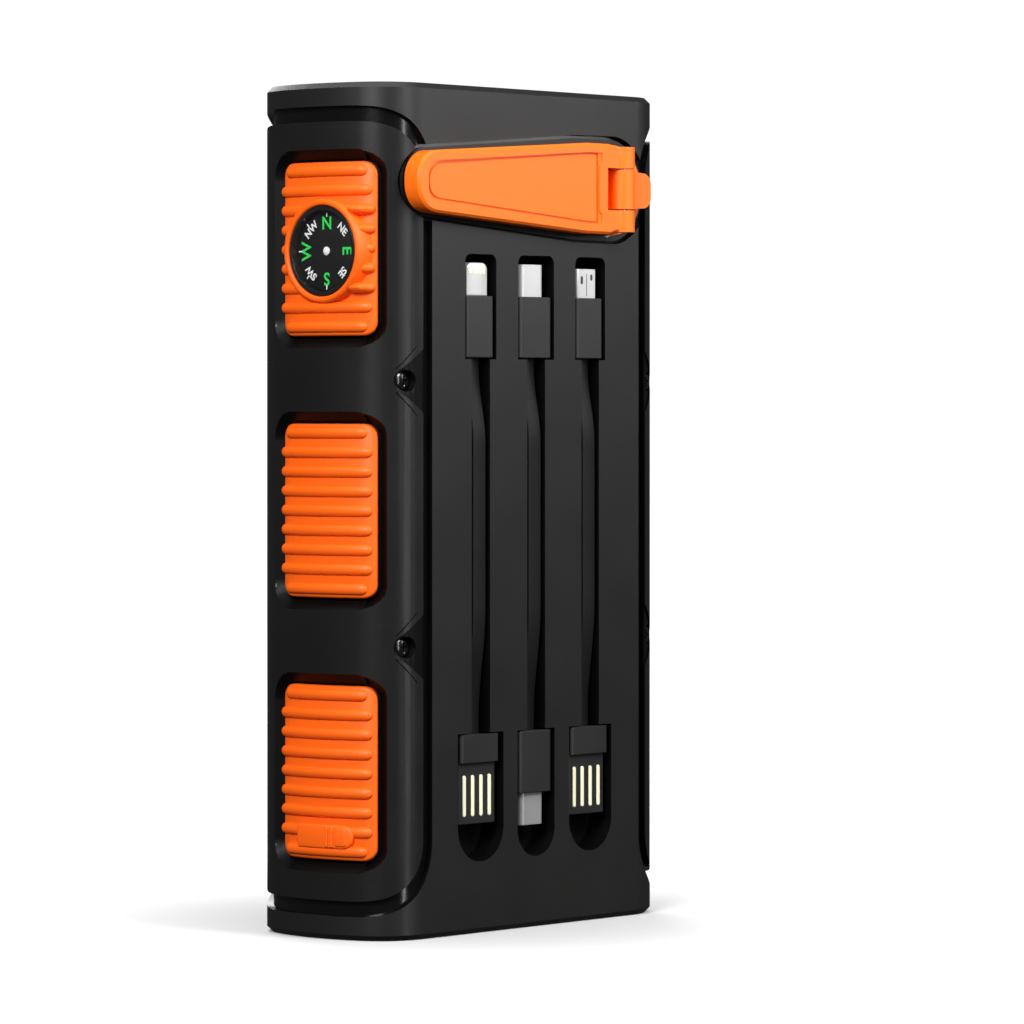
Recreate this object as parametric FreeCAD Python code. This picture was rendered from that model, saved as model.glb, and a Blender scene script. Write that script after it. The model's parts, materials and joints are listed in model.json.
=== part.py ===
"""Hand crank phone charger: a pocket power bank with a fold-out crank, three stored cables and a compass.

Millimetres. +Z is up, +X runs along the wide front face, and the front face looks along -Y.
The origin is the middle of the base. Each sub-part is written to parts/NODE.step.
"""

import FreeCAD, Part
import math
import os

from FreeCAD import Vector

# ---- case ----
case_height = 170.0
case_width = 90.9
case_thickness = 38.8
corner_radius = 11.4
side_radius = 36.0
edge_bevel = 1.1
front_wall = 2.2
back_wall = 3.4
end_wall = 2.4
side_wall = 2.0
seam_y = 1.0

# ---- front panel, grooves and side rails ----
left_margin = 15.25
right_margin = 12.25
groove_width = 2.6
groove_depth = 1.3
cap_height = 4.7
ring_groove = 3.1
left_rail_turn = 12.0
right_rail_turn = 9.3
rail_wall = 3.0
seat_gap = 0.15

# ---- pads in the rail windows ----
pad_end_margin = 7.9
pad_space = 17.4
pad_front_y = -13.9
pad_back_y = 8.7
pad_corner = 2.6
pad_recess = 0.9
pad_gap = 0.5
window_bevel = 1.9
window_corner = 4.0
rib_count = 9
rib_width = 1.65
rib_height = 0.5
rib_root = 0.3
rib_margin = 1.4

# ---- pull tab on the port cover ----
tab_from_foot = 5.2
pull_tab_half = 2.6
pull_tab_nose = 2.4
pull_tab_front = 6.0
pull_tab_back = 3.2
pull_tab_proud = 1.0

# ---- case screws ----
left_screw_inset = 8.85
right_screw_inset = 7.05
screw_drops = (1.0, 0.2)
screw_head_radius = 1.95
screw_head_height = 1.5
screw_shank_radius = 1.1
screw_length = 24.0
screw_seat_depth = 2.3
screw_hole_gap = 0.2
shank_gap = 0.1
screw_post_radius = 2.6
post_sink = 0.5
land_rim = 0.5
land_spread = 6.4
land_depth = 0.35

# ---- crank ----
crank_from_right = 20.7
crank_from_top = 19.7
hub_radius = 9.4
hub_proud = 0.7
hub_running_gap = 0.25
bay_depth = 0.9
bay_margin = 1.6
bay_slot = 0.5
bay_tip_shift = 1.55
platform_clearance = 0.3
arm_overhang = 8.25
arm_tip_half = 5.8
arm_wide_half = 9.25
arm_wide_at = 12.0
arm_thickness = 3.9
arm_face_clearance = 0.15
knuckle_half = 8.75
knuckle_step_at = 5.0
barrel_radius = 2.6
tongue_half = 4.03
tongue_gap = 0.3
tab_half = 3.5
tab_reach = 9.2
tab_corner = 2.4
slot_reach = 6.0
hinge_pin_radius = 1.1
running_gap = 0.05
panel_inset = 1.9
panel_depth = 0.35
panel_notch = 0.9
panel_notch_half = 4.65
arm_edge = 0.5
grip_length = 24.0
grip_half = 3.4
grip_thickness = 2.4
grip_from_tip = 6.6
grip_pin_radius = 0.8
grip_pin_bite = 1.4
grip_corner = 2.6
grip_groove_radius = 0.8
grip_groove_pitch = 2.9
grip_gap = 0.3

# ---- crank shaft, gears and dynamo ----
shaft_radius = 3.0
journal_radius = 2.0
gear_module = 0.8
pressure_angle = 20.0
addendum = 0.75
dedendum = 1.15
gear_backlash = 0.12
drive_teeth = 32
wheel_teeth = 30
pinion_teeth = 12
drive_face = 3.0
gear_face = 2.5
gear_spacing = 0.8
axle_radius = 1.2
train_angles = (195.0, 170.0, 200.0)
plate_thickness = 1.5
plate_margin = 3.0
plate_end_gap = 1.0
plate_tray_gap = 0.6
plate_ear = 7.0
pillar_radius = 1.6
pillar_edge = 0.3
bush_flange = 1.0
bush_wall = 1.2
dynamo_radius = 12.0
dynamo_length = 11.0
dynamo_wall = 0.9
rotor_radius = 5.5
rotor_shaft_radius = 0.9
rotor_gap = 0.6
coil_width = 4.4

# ---- stored cables ----
slot_shift = -0.45
slot_pitch = 16.8
slot_depth = 6.0
channel_depth = 4.3
tray_wall = 1.5
channel_half = 2.75
channel_bottom_z = 40.2
upper_pocket_height = 21.1
pocket_bottom_z = 14.4
pocket_corner = 1.6
pocket_from_top = 33.7
plug_length = 12.4
plug_back_gap = 0.3
plug_front_sink = 0.1
ribbon_half = 2.4
ribbon_thickness = 1.5
ribbon_bite = 1.0
plug_fillet = 0.7
upper_pockets = (9.35, 11.0, 9.4)
lower_pockets = (13.7, 11.4, 13.25)
upper_plugs = (8.2, 9.8, 8.2)
tip_sink = 0.9
end_plug_length = 12.6
tip_widths = (6.2, 7.0, 6.0)
tip_lengths = (6.7, 6.6, 6.0)
tip_thicknesses = (1.6, 2.4, 1.9)
tip_corners = (0.75, 1.15, 0.5)
shell_wall = 0.4
shell_floor = 1.5
usb_housing_width = 11.4
usb_blade_sink = 1.0
usb_housing_length = 5.6
usb_blade_width = 11.0
usb_blade_length = 12.3
usb_blade_thickness = 3.6
blade_corner = 0.4
contact_pitch = 2.5
contact_length = 8.4
contact_width = 1.0
contact_sink = 0.15
contact_from_foot = 1.4

# ---- compass ----
compass_y = -3.45
compass_drop = 0.4
compass_radius = 9.0
compass_bezel = 1.5
bezel_proud = 1.2
cup_depth = 6.0
cup_wall = 0.8
card_radius = 7.7
card_thickness = 0.5
card_drop = 1.6
pivot_radius = 0.45
dome_rise = 1.9
rim_sink = 0.4
cup_gap = 0.1
pivot_proud = 0.4

# ---- inside: cells, boards, ports ----
cell_length = 65.0
cell_spacing = 0.1
cell_board_gap = 0.8
cell_post_gap = 2.4
cell_nub_height = 1.0
cell_nub_radius = 2.6
cell_y = 2.6
cell_foot_z = 14.5
link_thickness = 0.4
link_half = 4.0
cradle_inset = 3.0
board_front_y = 0.05
board_thickness = 1.6
board_side_gap = 7.45
board_column_width = 15.1
board_right_gap = 12.45
board_foot_z = 13.5
board_waist_drop = 5.0
board_waist_inset = 6.0
board_shelf_gap = 3.6
board_from_top = 42.5
usb_port_width = 13.2
usb_port_height = 5.7
usb_port_depth = 13.5
usb_tongue_thickness = 1.9
usb_tongue_gap = 0.05
socket_wall = 0.35
socket_floor = 2.0
c_port_width = 8.9
c_port_height = 3.2
c_port_depth = 7.4
c_tongue_thickness = 0.7
port_spacing = 3.0
port_clearance = 0.3
hinge_barrel_radius = 0.5
hinge_barrel_length = 12.0
hinge_barrel_drop = 1.45
hinge_middle_y = 0.2

# ---- torch, button, lights, solar panel ----
torch_half = 9.0
torch_radius = 4.5
torch_lens_thickness = 1.8
torch_gap = 0.1
torch_ledge = 1.2
torch_board_thickness = 0.6
led_radius = 2.0
led_height = 0.5
button_radius = 5.2
button_travel = 1.2
button_proud = 1.0
button_gap = 0.15
button_hole_gap = 1.5
button_flange = 0.9
button_flange_thickness = 0.8
button_chamfer = 0.4
switch_gap = 0.3
switch_radius = 2.0
switch_height = 2.2
switch_board_thickness = 1.2
switch_board_y = (-11.0, 2.0)
switch_board_drop = 11.0
switch_board_rise = 1.4
light_half = 0.8
light_gap = 0.05
light_proud = 0.15
light_pitch = 4.0
light_count = 4
solar_margin_x = 7.0
solar_margin_z = 16.0
solar_corner = 4.0
solar_thickness = 0.9
cover_thickness = 0.8
cover_sink = 0.2
solar_gap = 0.3

# ---- places worked out from the sizes above ----
LEFT = -1
RIGHT = 1
half_width = case_width / 2
half_thickness = case_thickness / 2
front_y = -half_thickness
back_y = half_thickness
side_centre_x = half_width - side_radius
corner_centre_y = half_thickness - corner_radius
corner_centre_x = side_centre_x + math.sqrt((side_radius - corner_radius) ** 2 - corner_centre_y ** 2)
panel_left = left_margin - half_width
panel_right = half_width - right_margin
rail_left_x = panel_left - groove_width
rail_right_x = panel_right + groove_width
rail_foot_z = cap_height + ring_groove
rail_top_z = case_height - rail_foot_z
seat_depth = rail_wall + seat_gap
cavity_depth = seat_depth + side_wall
pad_thickness = seat_depth - pad_recess - seat_gap
pad_height = (rail_top_z - rail_foot_z - 2 * pad_end_margin - 2 * pad_space) / 3
pad_pitch = pad_height + pad_space
pad_levels = [case_height / 2 + step * pad_pitch for step in (1, 0, -1)]
screw_x = {LEFT: left_screw_inset - half_width, RIGHT: half_width - right_screw_inset}
screw_levels = [
    case_height / 2 - pad_pitch / 2 - screw_drops[0],
    case_height / 2 + pad_pitch / 2 - screw_drops[1],
]
light_z = case_height / 2 + pad_pitch / 2
crank_x = half_width - crank_from_right
crank_z = case_height - crank_from_top
arm_length = crank_x - panel_left + arm_overhang
compass_z = pad_levels[0] - compass_drop
pocket_top_z = case_height - pocket_from_top
channel_top_z = pocket_top_z - upper_pocket_height
pad_middle_y = (pad_front_y + pad_back_y) / 2
side_inside_x = corner_centre_x - seat_depth
collar_x = half_width - pad_recess + bezel_proud / 2
platform_back_y = pad_front_y - pad_gap - platform_clearance
usb_z0 = pad_levels[2] - (usb_port_width + port_spacing + c_port_width) / 2
usb_z1 = usb_z0 + usb_port_width
usb_y0 = board_front_y - usb_port_height
c_z0 = usb_z1 + port_spacing
c_z1 = c_z0 + c_port_width
c_y0 = board_front_y - c_port_height
bay_y = front_y + bay_depth
disc_front_y = bay_y - hub_proud
plate_front_y = front_y + front_wall + running_gap
disc_back_y = plate_front_y - running_gap
arm_back_y = front_y - arm_face_clearance
arm_top_y = arm_back_y - arm_thickness
barrel_y = arm_back_y - barrel_radius
plug_front_y = front_y + plug_front_sink
pocket_floor_y = front_y + slot_depth
tray_back_y = pocket_floor_y + tray_wall
plug_back_y = pocket_floor_y - plug_back_gap
plug_middle_y = (plug_front_y + plug_back_y) / 2
drive_y = tray_back_y + gear_spacing
stage_two_y = drive_y + drive_face + gear_spacing
stage_three_y = stage_two_y + gear_face + gear_spacing
back_plate_y = stage_three_y + gear_face + gear_spacing
dynamo_y = back_plate_y + plate_thickness
cavity_back_y = back_y - back_wall
solar_seat_y = back_y - cover_sink - cover_thickness - solar_thickness
slot_middle_x = (panel_left + panel_right) / 2 + slot_shift
slot_centres = [slot_middle_x + step * slot_pitch for step in (-1, 0, 1)]
board_left = board_side_gap - half_width
board_column_right = board_left + board_column_width
board_right = half_width - board_right_gap
board_shelf_z = cell_foot_z + cell_length + cell_nub_height + link_thickness + board_shelf_gap
board_waist_z = screw_levels[0] - board_waist_drop
board_top_z = case_height - board_from_top
cells_left = board_column_right + cell_board_gap
cell_pitch = (screw_x[RIGHT] - screw_post_radius - cell_post_gap - cells_left) / 3
cell_radius = (cell_pitch - cell_spacing) / 2
first_cell_x = cells_left + cell_radius
cell_centres = [first_cell_x + step * cell_pitch for step in range(3)]

far = 2 * case_height

os.makedirs("parts", exist_ok=True)


# ---- drawing helpers ----
def in_xz(a, b, depth):
    """A point of the front view, a to the right and b up."""
    return Vector(a, depth, b)


def in_yz(a, b, depth):
    """A point of the side view, a towards the back and b up."""
    return Vector(depth, a, b)


def in_xy(a, b, depth):
    """A point of the plan, a to the right and b towards the back."""
    return Vector(a, b, depth)


def rounded_wire(corners, place, depth):
    """A closed wire through corners (a, b, radius), each rounded to its radius."""
    edges = []
    ends = []
    count = len(corners)
    for index, (a, b, radius) in enumerate(corners):
        before = corners[index - 1]
        after = corners[(index + 1) % count]
        here = Vector(a, b, 0)
        back = Vector(before[0], before[1], 0) - here
        forth = Vector(after[0], after[1], 0) - here
        back.normalize()
        forth.normalize()
        if radius <= 0:
            ends.append((here, None, here))
            continue
        half = back.getAngle(forth) / 2
        reach = radius / math.tan(half)
        bisector = back + forth
        bisector.normalize()
        middle = here + bisector * (radius / math.sin(half) - radius)
        ends.append((here + back * reach, middle, here + forth * reach))
    for index, (start, middle, stop) in enumerate(ends):
        follow = ends[(index + 1) % count][0]
        if middle is not None:
            points = [place(p.x, p.y, depth) for p in (start, middle, stop)]
            edges.append(Part.Arc(*points).toShape())
        if (follow - stop).Length > 1e-7:
            edges.append(Part.LineSegment(place(stop.x, stop.y, depth), place(follow.x, follow.y, depth)).toShape())
    return Part.Wire(edges)


def slab(corners, place, low, high):
    """The outline through corners, pushed from depth low to depth high."""
    face = Part.Face(rounded_wire(corners, place, low))
    return face.extrude(place(0, 0, high - low))


def box_corners(a0, a1, b0, b1, radius=0.0):
    """The four corners of an upright rectangle with one corner radius."""
    return [(a0, b0, radius), (a1, b0, radius), (a1, b1, radius), (a0, b1, radius)]


def rod(start, along, radius, length):
    """A round bar from start along a direction."""
    return Part.makeCylinder(radius, length, Vector(*start), Vector(*along))


def block(x0, x1, y0, y1, z0, z1):
    """A plain box between two corners."""
    return Part.makeBox(x1 - x0, y1 - y0, z1 - z0, Vector(x0, y0, z0))


def joined(shapes):
    """Shapes fused into one, with needless seams removed."""
    whole = shapes[0].fuse(shapes[1:]) if len(shapes) > 1 else shapes[0]
    return whole.removeSplitter()


def write(name, shape):
    """Write one node to its STEP file."""
    shape.exportStep(f"parts/{name}.step")


def plan_wire(inset, z):
    """The case outline in plan, inset by a distance: flat faces, round corners and bulged sides."""
    flat = half_thickness - inset
    lean = math.atan2(corner_centre_y, corner_centre_x - side_centre_x)
    tight = corner_radius - inset
    bulge = side_radius - inset
    edges = []
    quarters = [(LEFT, -1), (LEFT, 1), (RIGHT, 1), (RIGHT, -1)]
    for index, (side, end) in enumerate(quarters):
        centre = Vector(side * corner_centre_x, end * corner_centre_y, z)
        middle_lean = (math.pi / 2 + lean) / 2
        at_flat = Vector(side * corner_centre_x, end * flat, z)
        at_middle = centre + Vector(side * math.cos(middle_lean), end * math.sin(middle_lean), 0) * tight
        at_side = centre + Vector(side * math.cos(lean), end * math.sin(lean), 0) * tight
        corner = [at_flat, at_middle, at_side]
        if index % 2:
            corner.reverse()
        edges.append(Part.Arc(*corner).toShape())
        if index % 2:
            edges.append(Part.LineSegment(at_flat, Vector(-side * corner_centre_x, end * flat, z)).toShape())
        else:
            outermost = Vector(side * (side_centre_x + bulge), 0, z)
            mirrored = Vector(at_side.x, -at_side.y, z)
            edges.append(Part.Arc(at_side, outermost, mirrored).toShape())
    return Part.Wire(edges)


def plan_prism(inset, z0, z1):
    """The case outline, inset, as an upright prism."""
    return Part.Face(plan_wire(inset, z0)).extrude(Vector(0, 0, z1 - z0))


def skin(outer, inner, z0, z1):
    """The curved wall between two insets of the case outline."""
    return plan_prism(outer, z0, z1).cut(plan_prism(inner, z0 - 1, z1 + 1))


def surface_y(x, inset=0.0):
    """The front surface's y where it passes x on the round corner."""
    run = abs(x) - corner_centre_x
    return -corner_centre_y - math.sqrt((corner_radius - inset) ** 2 - run ** 2)


def rail_zone(side, grow=0.0):
    """The front view of one side rail, grown by the groove round it where asked."""
    inner = (-rail_left_x if side == LEFT else rail_right_x) - grow * groove_width
    far = case_width
    turn = (left_rail_turn if side == LEFT else right_rail_turn) + grow * groove_width
    foot = rail_foot_z - grow * ring_groove
    top = rail_top_z + grow * ring_groove
    corners = [(side * inner, foot, turn), (side * far, foot, 0), (side * far, top, 0), (side * inner, top, turn)]
    return slab(corners, in_xz, -case_thickness, case_thickness)


def crank_outline(grow, tip_shift):
    """The crank's front-view outline: a round hub, a wide shoulder and a taper to a round tip, grown outwards."""
    tip_radius = arm_tip_half + grow
    tip_x = crank_x - arm_length + arm_tip_half + tip_shift
    wide = arm_wide_half + grow
    wide_x = crank_x - arm_wide_at
    hub = hub_radius + grow
    lean = math.asin((wide - tip_radius) / math.hypot(wide_x - tip_x, wide - tip_radius))
    touch = Vector(tip_x - tip_radius * math.sin(lean), 0, tip_radius * math.cos(lean))
    shoulder = Vector(crank_x, 0, hub)
    upper = [touch, Vector(wide_x, 0, wide), shoulder]
    points = [Vector(p.x, 0, crank_z + p.z) for p in upper]
    lower = [Vector(p.x, 0, crank_z - p.z) for p in upper]
    tip = Vector(tip_x - tip_radius, 0, crank_z)
    heel = Vector(crank_x + hub, 0, crank_z)
    return [
        Part.Arc(lower[0], tip, points[0]).toShape(),
        Part.LineSegment(points[0], points[1]).toShape(),
        Part.LineSegment(points[1], points[2]).toShape(),
        Part.Arc(points[2], heel, lower[2]).toShape(),
        Part.LineSegment(lower[2], lower[1]).toShape(),
        Part.LineSegment(lower[1], lower[0]).toShape(),
    ]


def bay_prism(grow, y0, y1):
    """The crank's bay, a little wider than the crank and with its own tip, as a prism from y0 to y1."""
    face = Part.Face(Part.Wire(crank_outline(grow, bay_tip_shift)))
    face.translate(Vector(0, y0, 0))
    return face.extrude(Vector(0, y1 - y0, 0))


# ---- places on the two sides ----
def screw_seat_y(side):
    """The plane under the case screws' heads on one side."""
    return surface_y(screw_x[side]) + screw_seat_depth


def screw_land(side, z):
    """The shallow pointed land round a case screw, as the solid to cut from the rail."""
    nose = screw_head_radius + screw_hole_gap + land_rim
    centre = screw_x[side]
    root = -rail_left_x if side == LEFT else rail_right_x
    rise = land_spread
    run = abs(centre) - root
    reach = math.hypot(run, rise)
    lean = math.atan2(rise, run) - math.asin(nose / reach)
    touch_x = abs(centre) + nose * math.sin(lean)
    touch_z = nose * math.cos(lean)
    high = Vector(side * touch_x, 0, z + touch_z)
    low = Vector(side * touch_x, 0, z - touch_z)
    nose_point = Vector(side * (abs(centre) + nose), 0, z)
    root_high = Vector(side * root, 0, z + rise)
    root_low = Vector(side * root, 0, z - rise)
    wire = Part.Wire([
        Part.Arc(low, nose_point, high).toShape(),
        Part.LineSegment(high, root_high).toShape(),
        Part.LineSegment(root_high, root_low).toShape(),
        Part.LineSegment(root_low, low).toShape(),
    ])
    face = Part.Face(wire)
    face.translate(Vector(0, front_y, 0))
    return face.extrude(Vector(0, corner_radius, 0)).common(skin(0.0, land_depth, z - rise, z + rise))


def screw_cut(side, z, radius, y0, y1):
    """A hole along a case screw."""
    return rod((screw_x[side], y0, z), (0, 1, 0), radius, y1 - y0)


def pad_corners(level, grow, radius):
    """The side view of a pad or of its window."""
    return box_corners(
        pad_front_y - grow, pad_back_y + grow,
        level - pad_height / 2 - grow, level + pad_height / 2 + grow, radius,
    )


def side_slab(corners, side, low, high):
    """A side-view outline pushed outwards on one side, between two distances from the middle."""
    ends = sorted((side * low, side * high))
    return slab(corners, in_yz, ends[0], ends[1])


# ---- case shells ----
def pocket_tools(grow, floor_y, channel_y):
    """The three cable slots as solids: an upper pocket, a channel and a lower pocket, round-ended unless grown."""
    tools = []
    start_y = front_y + front_wall / 2 if grow else front_y - 1
    for centre, upper, lower in zip(slot_centres, upper_pockets, lower_pockets):
        half_upper = upper / 2 + grow
        half_lower = lower / 2 + grow
        half_channel = channel_half + grow
        high = [
            (centre - half_upper, channel_top_z - grow, 0),
            (centre + half_upper, channel_top_z - grow, 0),
            (centre + half_upper, pocket_top_z + grow, pocket_corner if not grow else 0),
            (centre - half_upper, pocket_top_z + grow, pocket_corner if not grow else 0),
        ]
        round_end = half_lower - 0.01 if not grow else 0
        low = [
            (centre - half_lower, pocket_bottom_z - grow, round_end),
            (centre + half_lower, pocket_bottom_z - grow, round_end),
            (centre + half_lower, channel_bottom_z + grow, 0),
            (centre - half_lower, channel_bottom_z + grow, 0),
        ]
        channel = box_corners(
            centre - half_channel, centre + half_channel,
            channel_bottom_z - 1, channel_top_z + 1,
        )
        tools.append(slab(high, in_xz, start_y, floor_y))
        tools.append(slab(low, in_xz, start_y, floor_y))
        tools.append(slab(channel, in_xz, start_y, channel_y))
    return tools


def case_block():
    """The whole case as one solid: capped ends, grooves, seats for the rails and the crank's bay."""
    body = plan_prism(0, 0, case_height)
    rims = [e for e in body.Edges if abs(e.CenterOfMass.z) < 0.01 or abs(e.CenterOfMass.z - case_height) < 0.01]
    body = body.makeChamfer(edge_bevel, rims)
    groove_skin = skin(-1.0, groove_depth, -1, case_height + 1)
    seat_skin = skin(-1.0, seat_depth, -1, case_height + 1)
    platform = bay_prism(bay_margin - bay_slot, bay_y, platform_back_y)
    body = body.cut(bay_prism(bay_margin, front_y - 5, bay_y))
    for side in (LEFT, RIGHT):
        body = body.cut(groove_skin.common(rail_zone(side, 1.0)))
        body = body.cut(seat_skin.common(rail_zone(side)))
    return body.fuse(platform)


def cavity():
    """The hollow inside both shells."""
    middle = plan_prism(cavity_depth, end_wall, case_height - end_wall)
    deep = block(
        panel_left + 1, panel_right - 1, front_y + front_wall, cavity_back_y,
        end_wall, case_height - end_wall,
    )
    back_limit = block(-case_width, case_width, -case_thickness, cavity_back_y, 0, case_height)
    return middle.fuse(deep).common(back_limit)


def screw_posts():
    """The four posts that the case screws run in."""
    posts = []
    for side in (LEFT, RIGHT):
        for z in screw_levels:
            start = surface_y(screw_x[side]) + seat_depth + post_sink
            posts.append(screw_cut(side, z, screw_post_radius, start, cavity_back_y + post_sink))
    return joined(posts).common(plan_prism(seat_depth + post_sink, 0, case_height))


def port_apertures():
    """The openings behind the port cover, one for each socket."""
    outside = -half_width
    inside = cavity_depth + 1 - half_width
    high_y = board_front_y + port_clearance
    usb = block(outside, inside, usb_y0 - port_clearance, high_y, usb_z0 - port_clearance, usb_z1 + port_clearance)
    small = block(outside, inside, c_y0 - port_clearance, high_y, c_z0 - port_clearance, c_z1 + port_clearance)
    return usb.fuse(small)


def side_surface(y, inset=0.0):
    """How far the bulged side stands from the middle at y."""
    return side_centre_x + math.sqrt((side_radius - inset) ** 2 - y ** 2)


def solar_corners(shrink):
    """The back view of the solar panel's recess."""
    return box_corners(
        -half_width + corner_radius + solar_margin_x / 2 + shrink,
        half_width - corner_radius - solar_margin_x / 2 - shrink,
        solar_margin_z + shrink, case_height - solar_margin_z - shrink, solar_corner,
    )


def torch_corners(grow):
    """The torch window in the top face."""
    return box_corners(
        -torch_half - grow, torch_half + grow,
        -torch_radius - grow, torch_radius + grow, torch_radius + grow - 0.01,
    )


def build_shells():
    """The front and back shells, split on a flat seam."""
    body = case_block().cut(cavity()).fuse(screw_posts())
    trays = joined(pocket_tools(tray_wall, tray_back_y, front_y + channel_depth + tray_wall))
    body = body.fuse(trays)
    body = body.cut(joined(pocket_tools(0.0, pocket_floor_y, front_y + channel_depth)))
    for side in (LEFT, RIGHT):
        for z in screw_levels:
            tip_y = screw_seat_y(side) + screw_length + post_sink
            body = body.cut(screw_cut(side, z, screw_shank_radius + shank_gap, -case_thickness, seam_y))
            body = body.cut(screw_cut(side, z, screw_shank_radius, seam_y, tip_y))
    body = body.cut(rod((crank_x, front_y - 1, crank_z), (0, 1, 0), hub_radius + hub_running_gap, 2 * front_wall + 1))
    cup_hole = compass_radius + hub_running_gap
    wall_reach = 2 * cavity_depth
    body = body.cut(rod((-half_width, compass_y, compass_z), (1, 0, 0), cup_hole, wall_reach))
    body = body.cut(rod((half_width, compass_y, compass_z), (-1, 0, 0), button_radius + button_hole_gap, wall_reach))
    for place in light_places():
        body = body.cut(light_pipe(place, light_gap, half_width - wall_reach, half_width))
    body = body.cut(port_apertures())
    body = body.cut(slab(solar_corners(0.0), in_xz, solar_seat_y, back_y + 1))
    body = body.cut(slab(torch_corners(torch_gap), in_xy, case_height - torch_lens_thickness, case_height + 1))
    body = body.cut(slab(torch_corners(-torch_ledge), in_xy, case_height - end_wall - 1, case_height))
    front = body.common(block(-case_width, case_width, -case_thickness, seam_y, -1, case_height + 1))
    back = body.common(block(-case_width, case_width, seam_y, case_thickness, -1, case_height + 1))
    write("front_shell", front.removeSplitter())
    write("back_shell", back.removeSplitter())


def light_places():
    """The y of each charge light."""
    middle = (light_count - 1) / 2
    return [pad_middle_y + (index - middle) * light_pitch for index in range(light_count)]


def light_pipe(place, grow, x0, x1):
    """One square light pipe, or its hole, between two distances from the middle."""
    half = light_half + grow
    return block(x0, x1, place - half, place + half, light_z - half, light_z + half)


# ---- rails and pads ----
def build_rail(side, name):
    """A soft bumper that wraps one narrow side, with three bevelled windows and a sunk land at each screw."""
    ring = skin(0.0, rail_wall, rail_foot_z, rail_top_z).common(rail_zone(side))
    for level in pad_levels:
        window = side_slab(pad_corners(level, pad_gap, window_corner), side, side_inside_x, half_width + 1)
        ring = ring.cut(window)
    ring = bevel_windows(ring, side)
    for z in screw_levels:
        ring = ring.cut(screw_land(side, z))
        ring = ring.cut(screw_cut(side, z, screw_head_radius + screw_hole_gap, front_y - 1, screw_seat_y(side)))
        ring = ring.cut(screw_cut(side, z, screw_shank_radius + shank_gap, front_y - 1, 0))
    ring = ring.cut(bay_prism(bay_margin, front_y - 1, platform_back_y + seat_gap))
    if side == RIGHT:
        for place in light_places():
            ring = ring.cut(light_pipe(place, light_gap, half_width - cavity_depth, half_width + 1))
    write(name, ring.removeSplitter())


def surface_offset(edge):
    """How far an edge's middle lies inside the case outline, for edges on the outline."""
    point = edge.valueAt((edge.FirstParameter + edge.LastParameter) / 2)
    x = abs(point.x)
    y = abs(point.y)
    if y > corner_centre_y and x > corner_centre_x - 0.01:
        return corner_radius - math.hypot(x - corner_centre_x, y - corner_centre_y)
    if x <= corner_centre_x:
        return half_thickness - y
    return side_radius - math.hypot(x - side_centre_x, y)


def bevel_windows(ring, side):
    """Slope the outer edges of the windows."""
    rims = []
    for edge in ring.Edges:
        box = edge.BoundBox
        inside = box.YMin > pad_front_y - pad_gap - 0.5 and box.YMax < pad_back_y + pad_gap + 0.5
        near = any(
            level - pad_height / 2 - pad_gap - 0.1 < box.ZMin and box.ZMax < level + pad_height / 2 + pad_gap + 0.1
            for level in pad_levels
        )
        if inside and near and abs(surface_offset(edge)) < 0.02:
            rims.append(edge)
    return ring.makeChamfer(window_bevel, rims)


def pad_body(side, level):
    """One ribbed pad, curved like the case, with its ribs on."""
    low = level - pad_height / 2
    high = level + pad_height / 2
    sheet = skin(pad_recess, pad_recess + pad_thickness, low, high)
    pad = sheet.common(side_slab(pad_corners(level, 0.0, pad_corner), side, side_inside_x, half_width + 1))
    ribs = []
    pitch = (pad_height - 2 * rib_margin - rib_width / 2) / (rib_count - 1)
    for index in range(rib_count):
        z = low + rib_margin + rib_width / 4 + index * pitch
        ribs.append(rib(side, z, pad_corner if index in (0, rib_count - 1) else rib_margin))
    return joined([pad] + ribs)


def rib(side, z, margin):
    """One raised rib across a pad."""
    strip = skin(pad_recess - rib_height, pad_recess + rib_root, z - rib_width / 2, z + rib_width / 2)
    shape = box_corners(pad_front_y + margin, pad_back_y - margin, z - rib_width, z + rib_width)
    return strip.common(side_slab(shape, side, side_inside_x, half_width + 1))


def build_pads():
    """The fixed pads of both sides and the hinged one that covers the ports."""
    upper = pad_body(LEFT, pad_levels[0])
    reach = bezel_proud + pad_thickness
    inner = plan_prism(pad_recess + pad_thickness, 0, case_height)
    bezel = rod((-half_width + pad_recess - bezel_proud, compass_y, compass_z), (1, 0, 0),
                compass_radius + compass_bezel, reach)
    bore = rod((-half_width - 1, compass_y, compass_z), (1, 0, 0), compass_radius + running_gap, 2 * cavity_depth)
    write("left_upper_pad", upper.fuse(bezel).cut(inner).cut(bore).removeSplitter())
    write("left_middle_pad", pad_body(LEFT, pad_levels[1]))
    upper = pad_body(RIGHT, pad_levels[0])
    collar = rod((collar_x, compass_y, compass_z), (-1, 0, 0), button_radius + compass_bezel, reach)
    bore = rod((half_width + 1, compass_y, compass_z), (-1, 0, 0), button_radius + button_gap, 2 * cavity_depth)
    write("right_upper_pad", upper.fuse(collar).cut(inner).cut(bore).removeSplitter())
    write("right_middle_pad", pad_body(RIGHT, pad_levels[1]))
    write("right_lower_pad", pad_body(RIGHT, pad_levels[2]))
    cover = pad_body(LEFT, pad_levels[2])
    write("port_cover", joined([cover, pull_tab(), hinge_barrel()]))


def hinge_barrel():
    """The barrel along the cover's top edge that it swings up on."""
    start_y = hinge_middle_y - hinge_barrel_length / 2
    top = pad_levels[2] + pad_height / 2
    return rod((hinge_barrel_drop - half_width, start_y, top), (0, 1, 0), hinge_barrel_radius, hinge_barrel_length)


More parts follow.
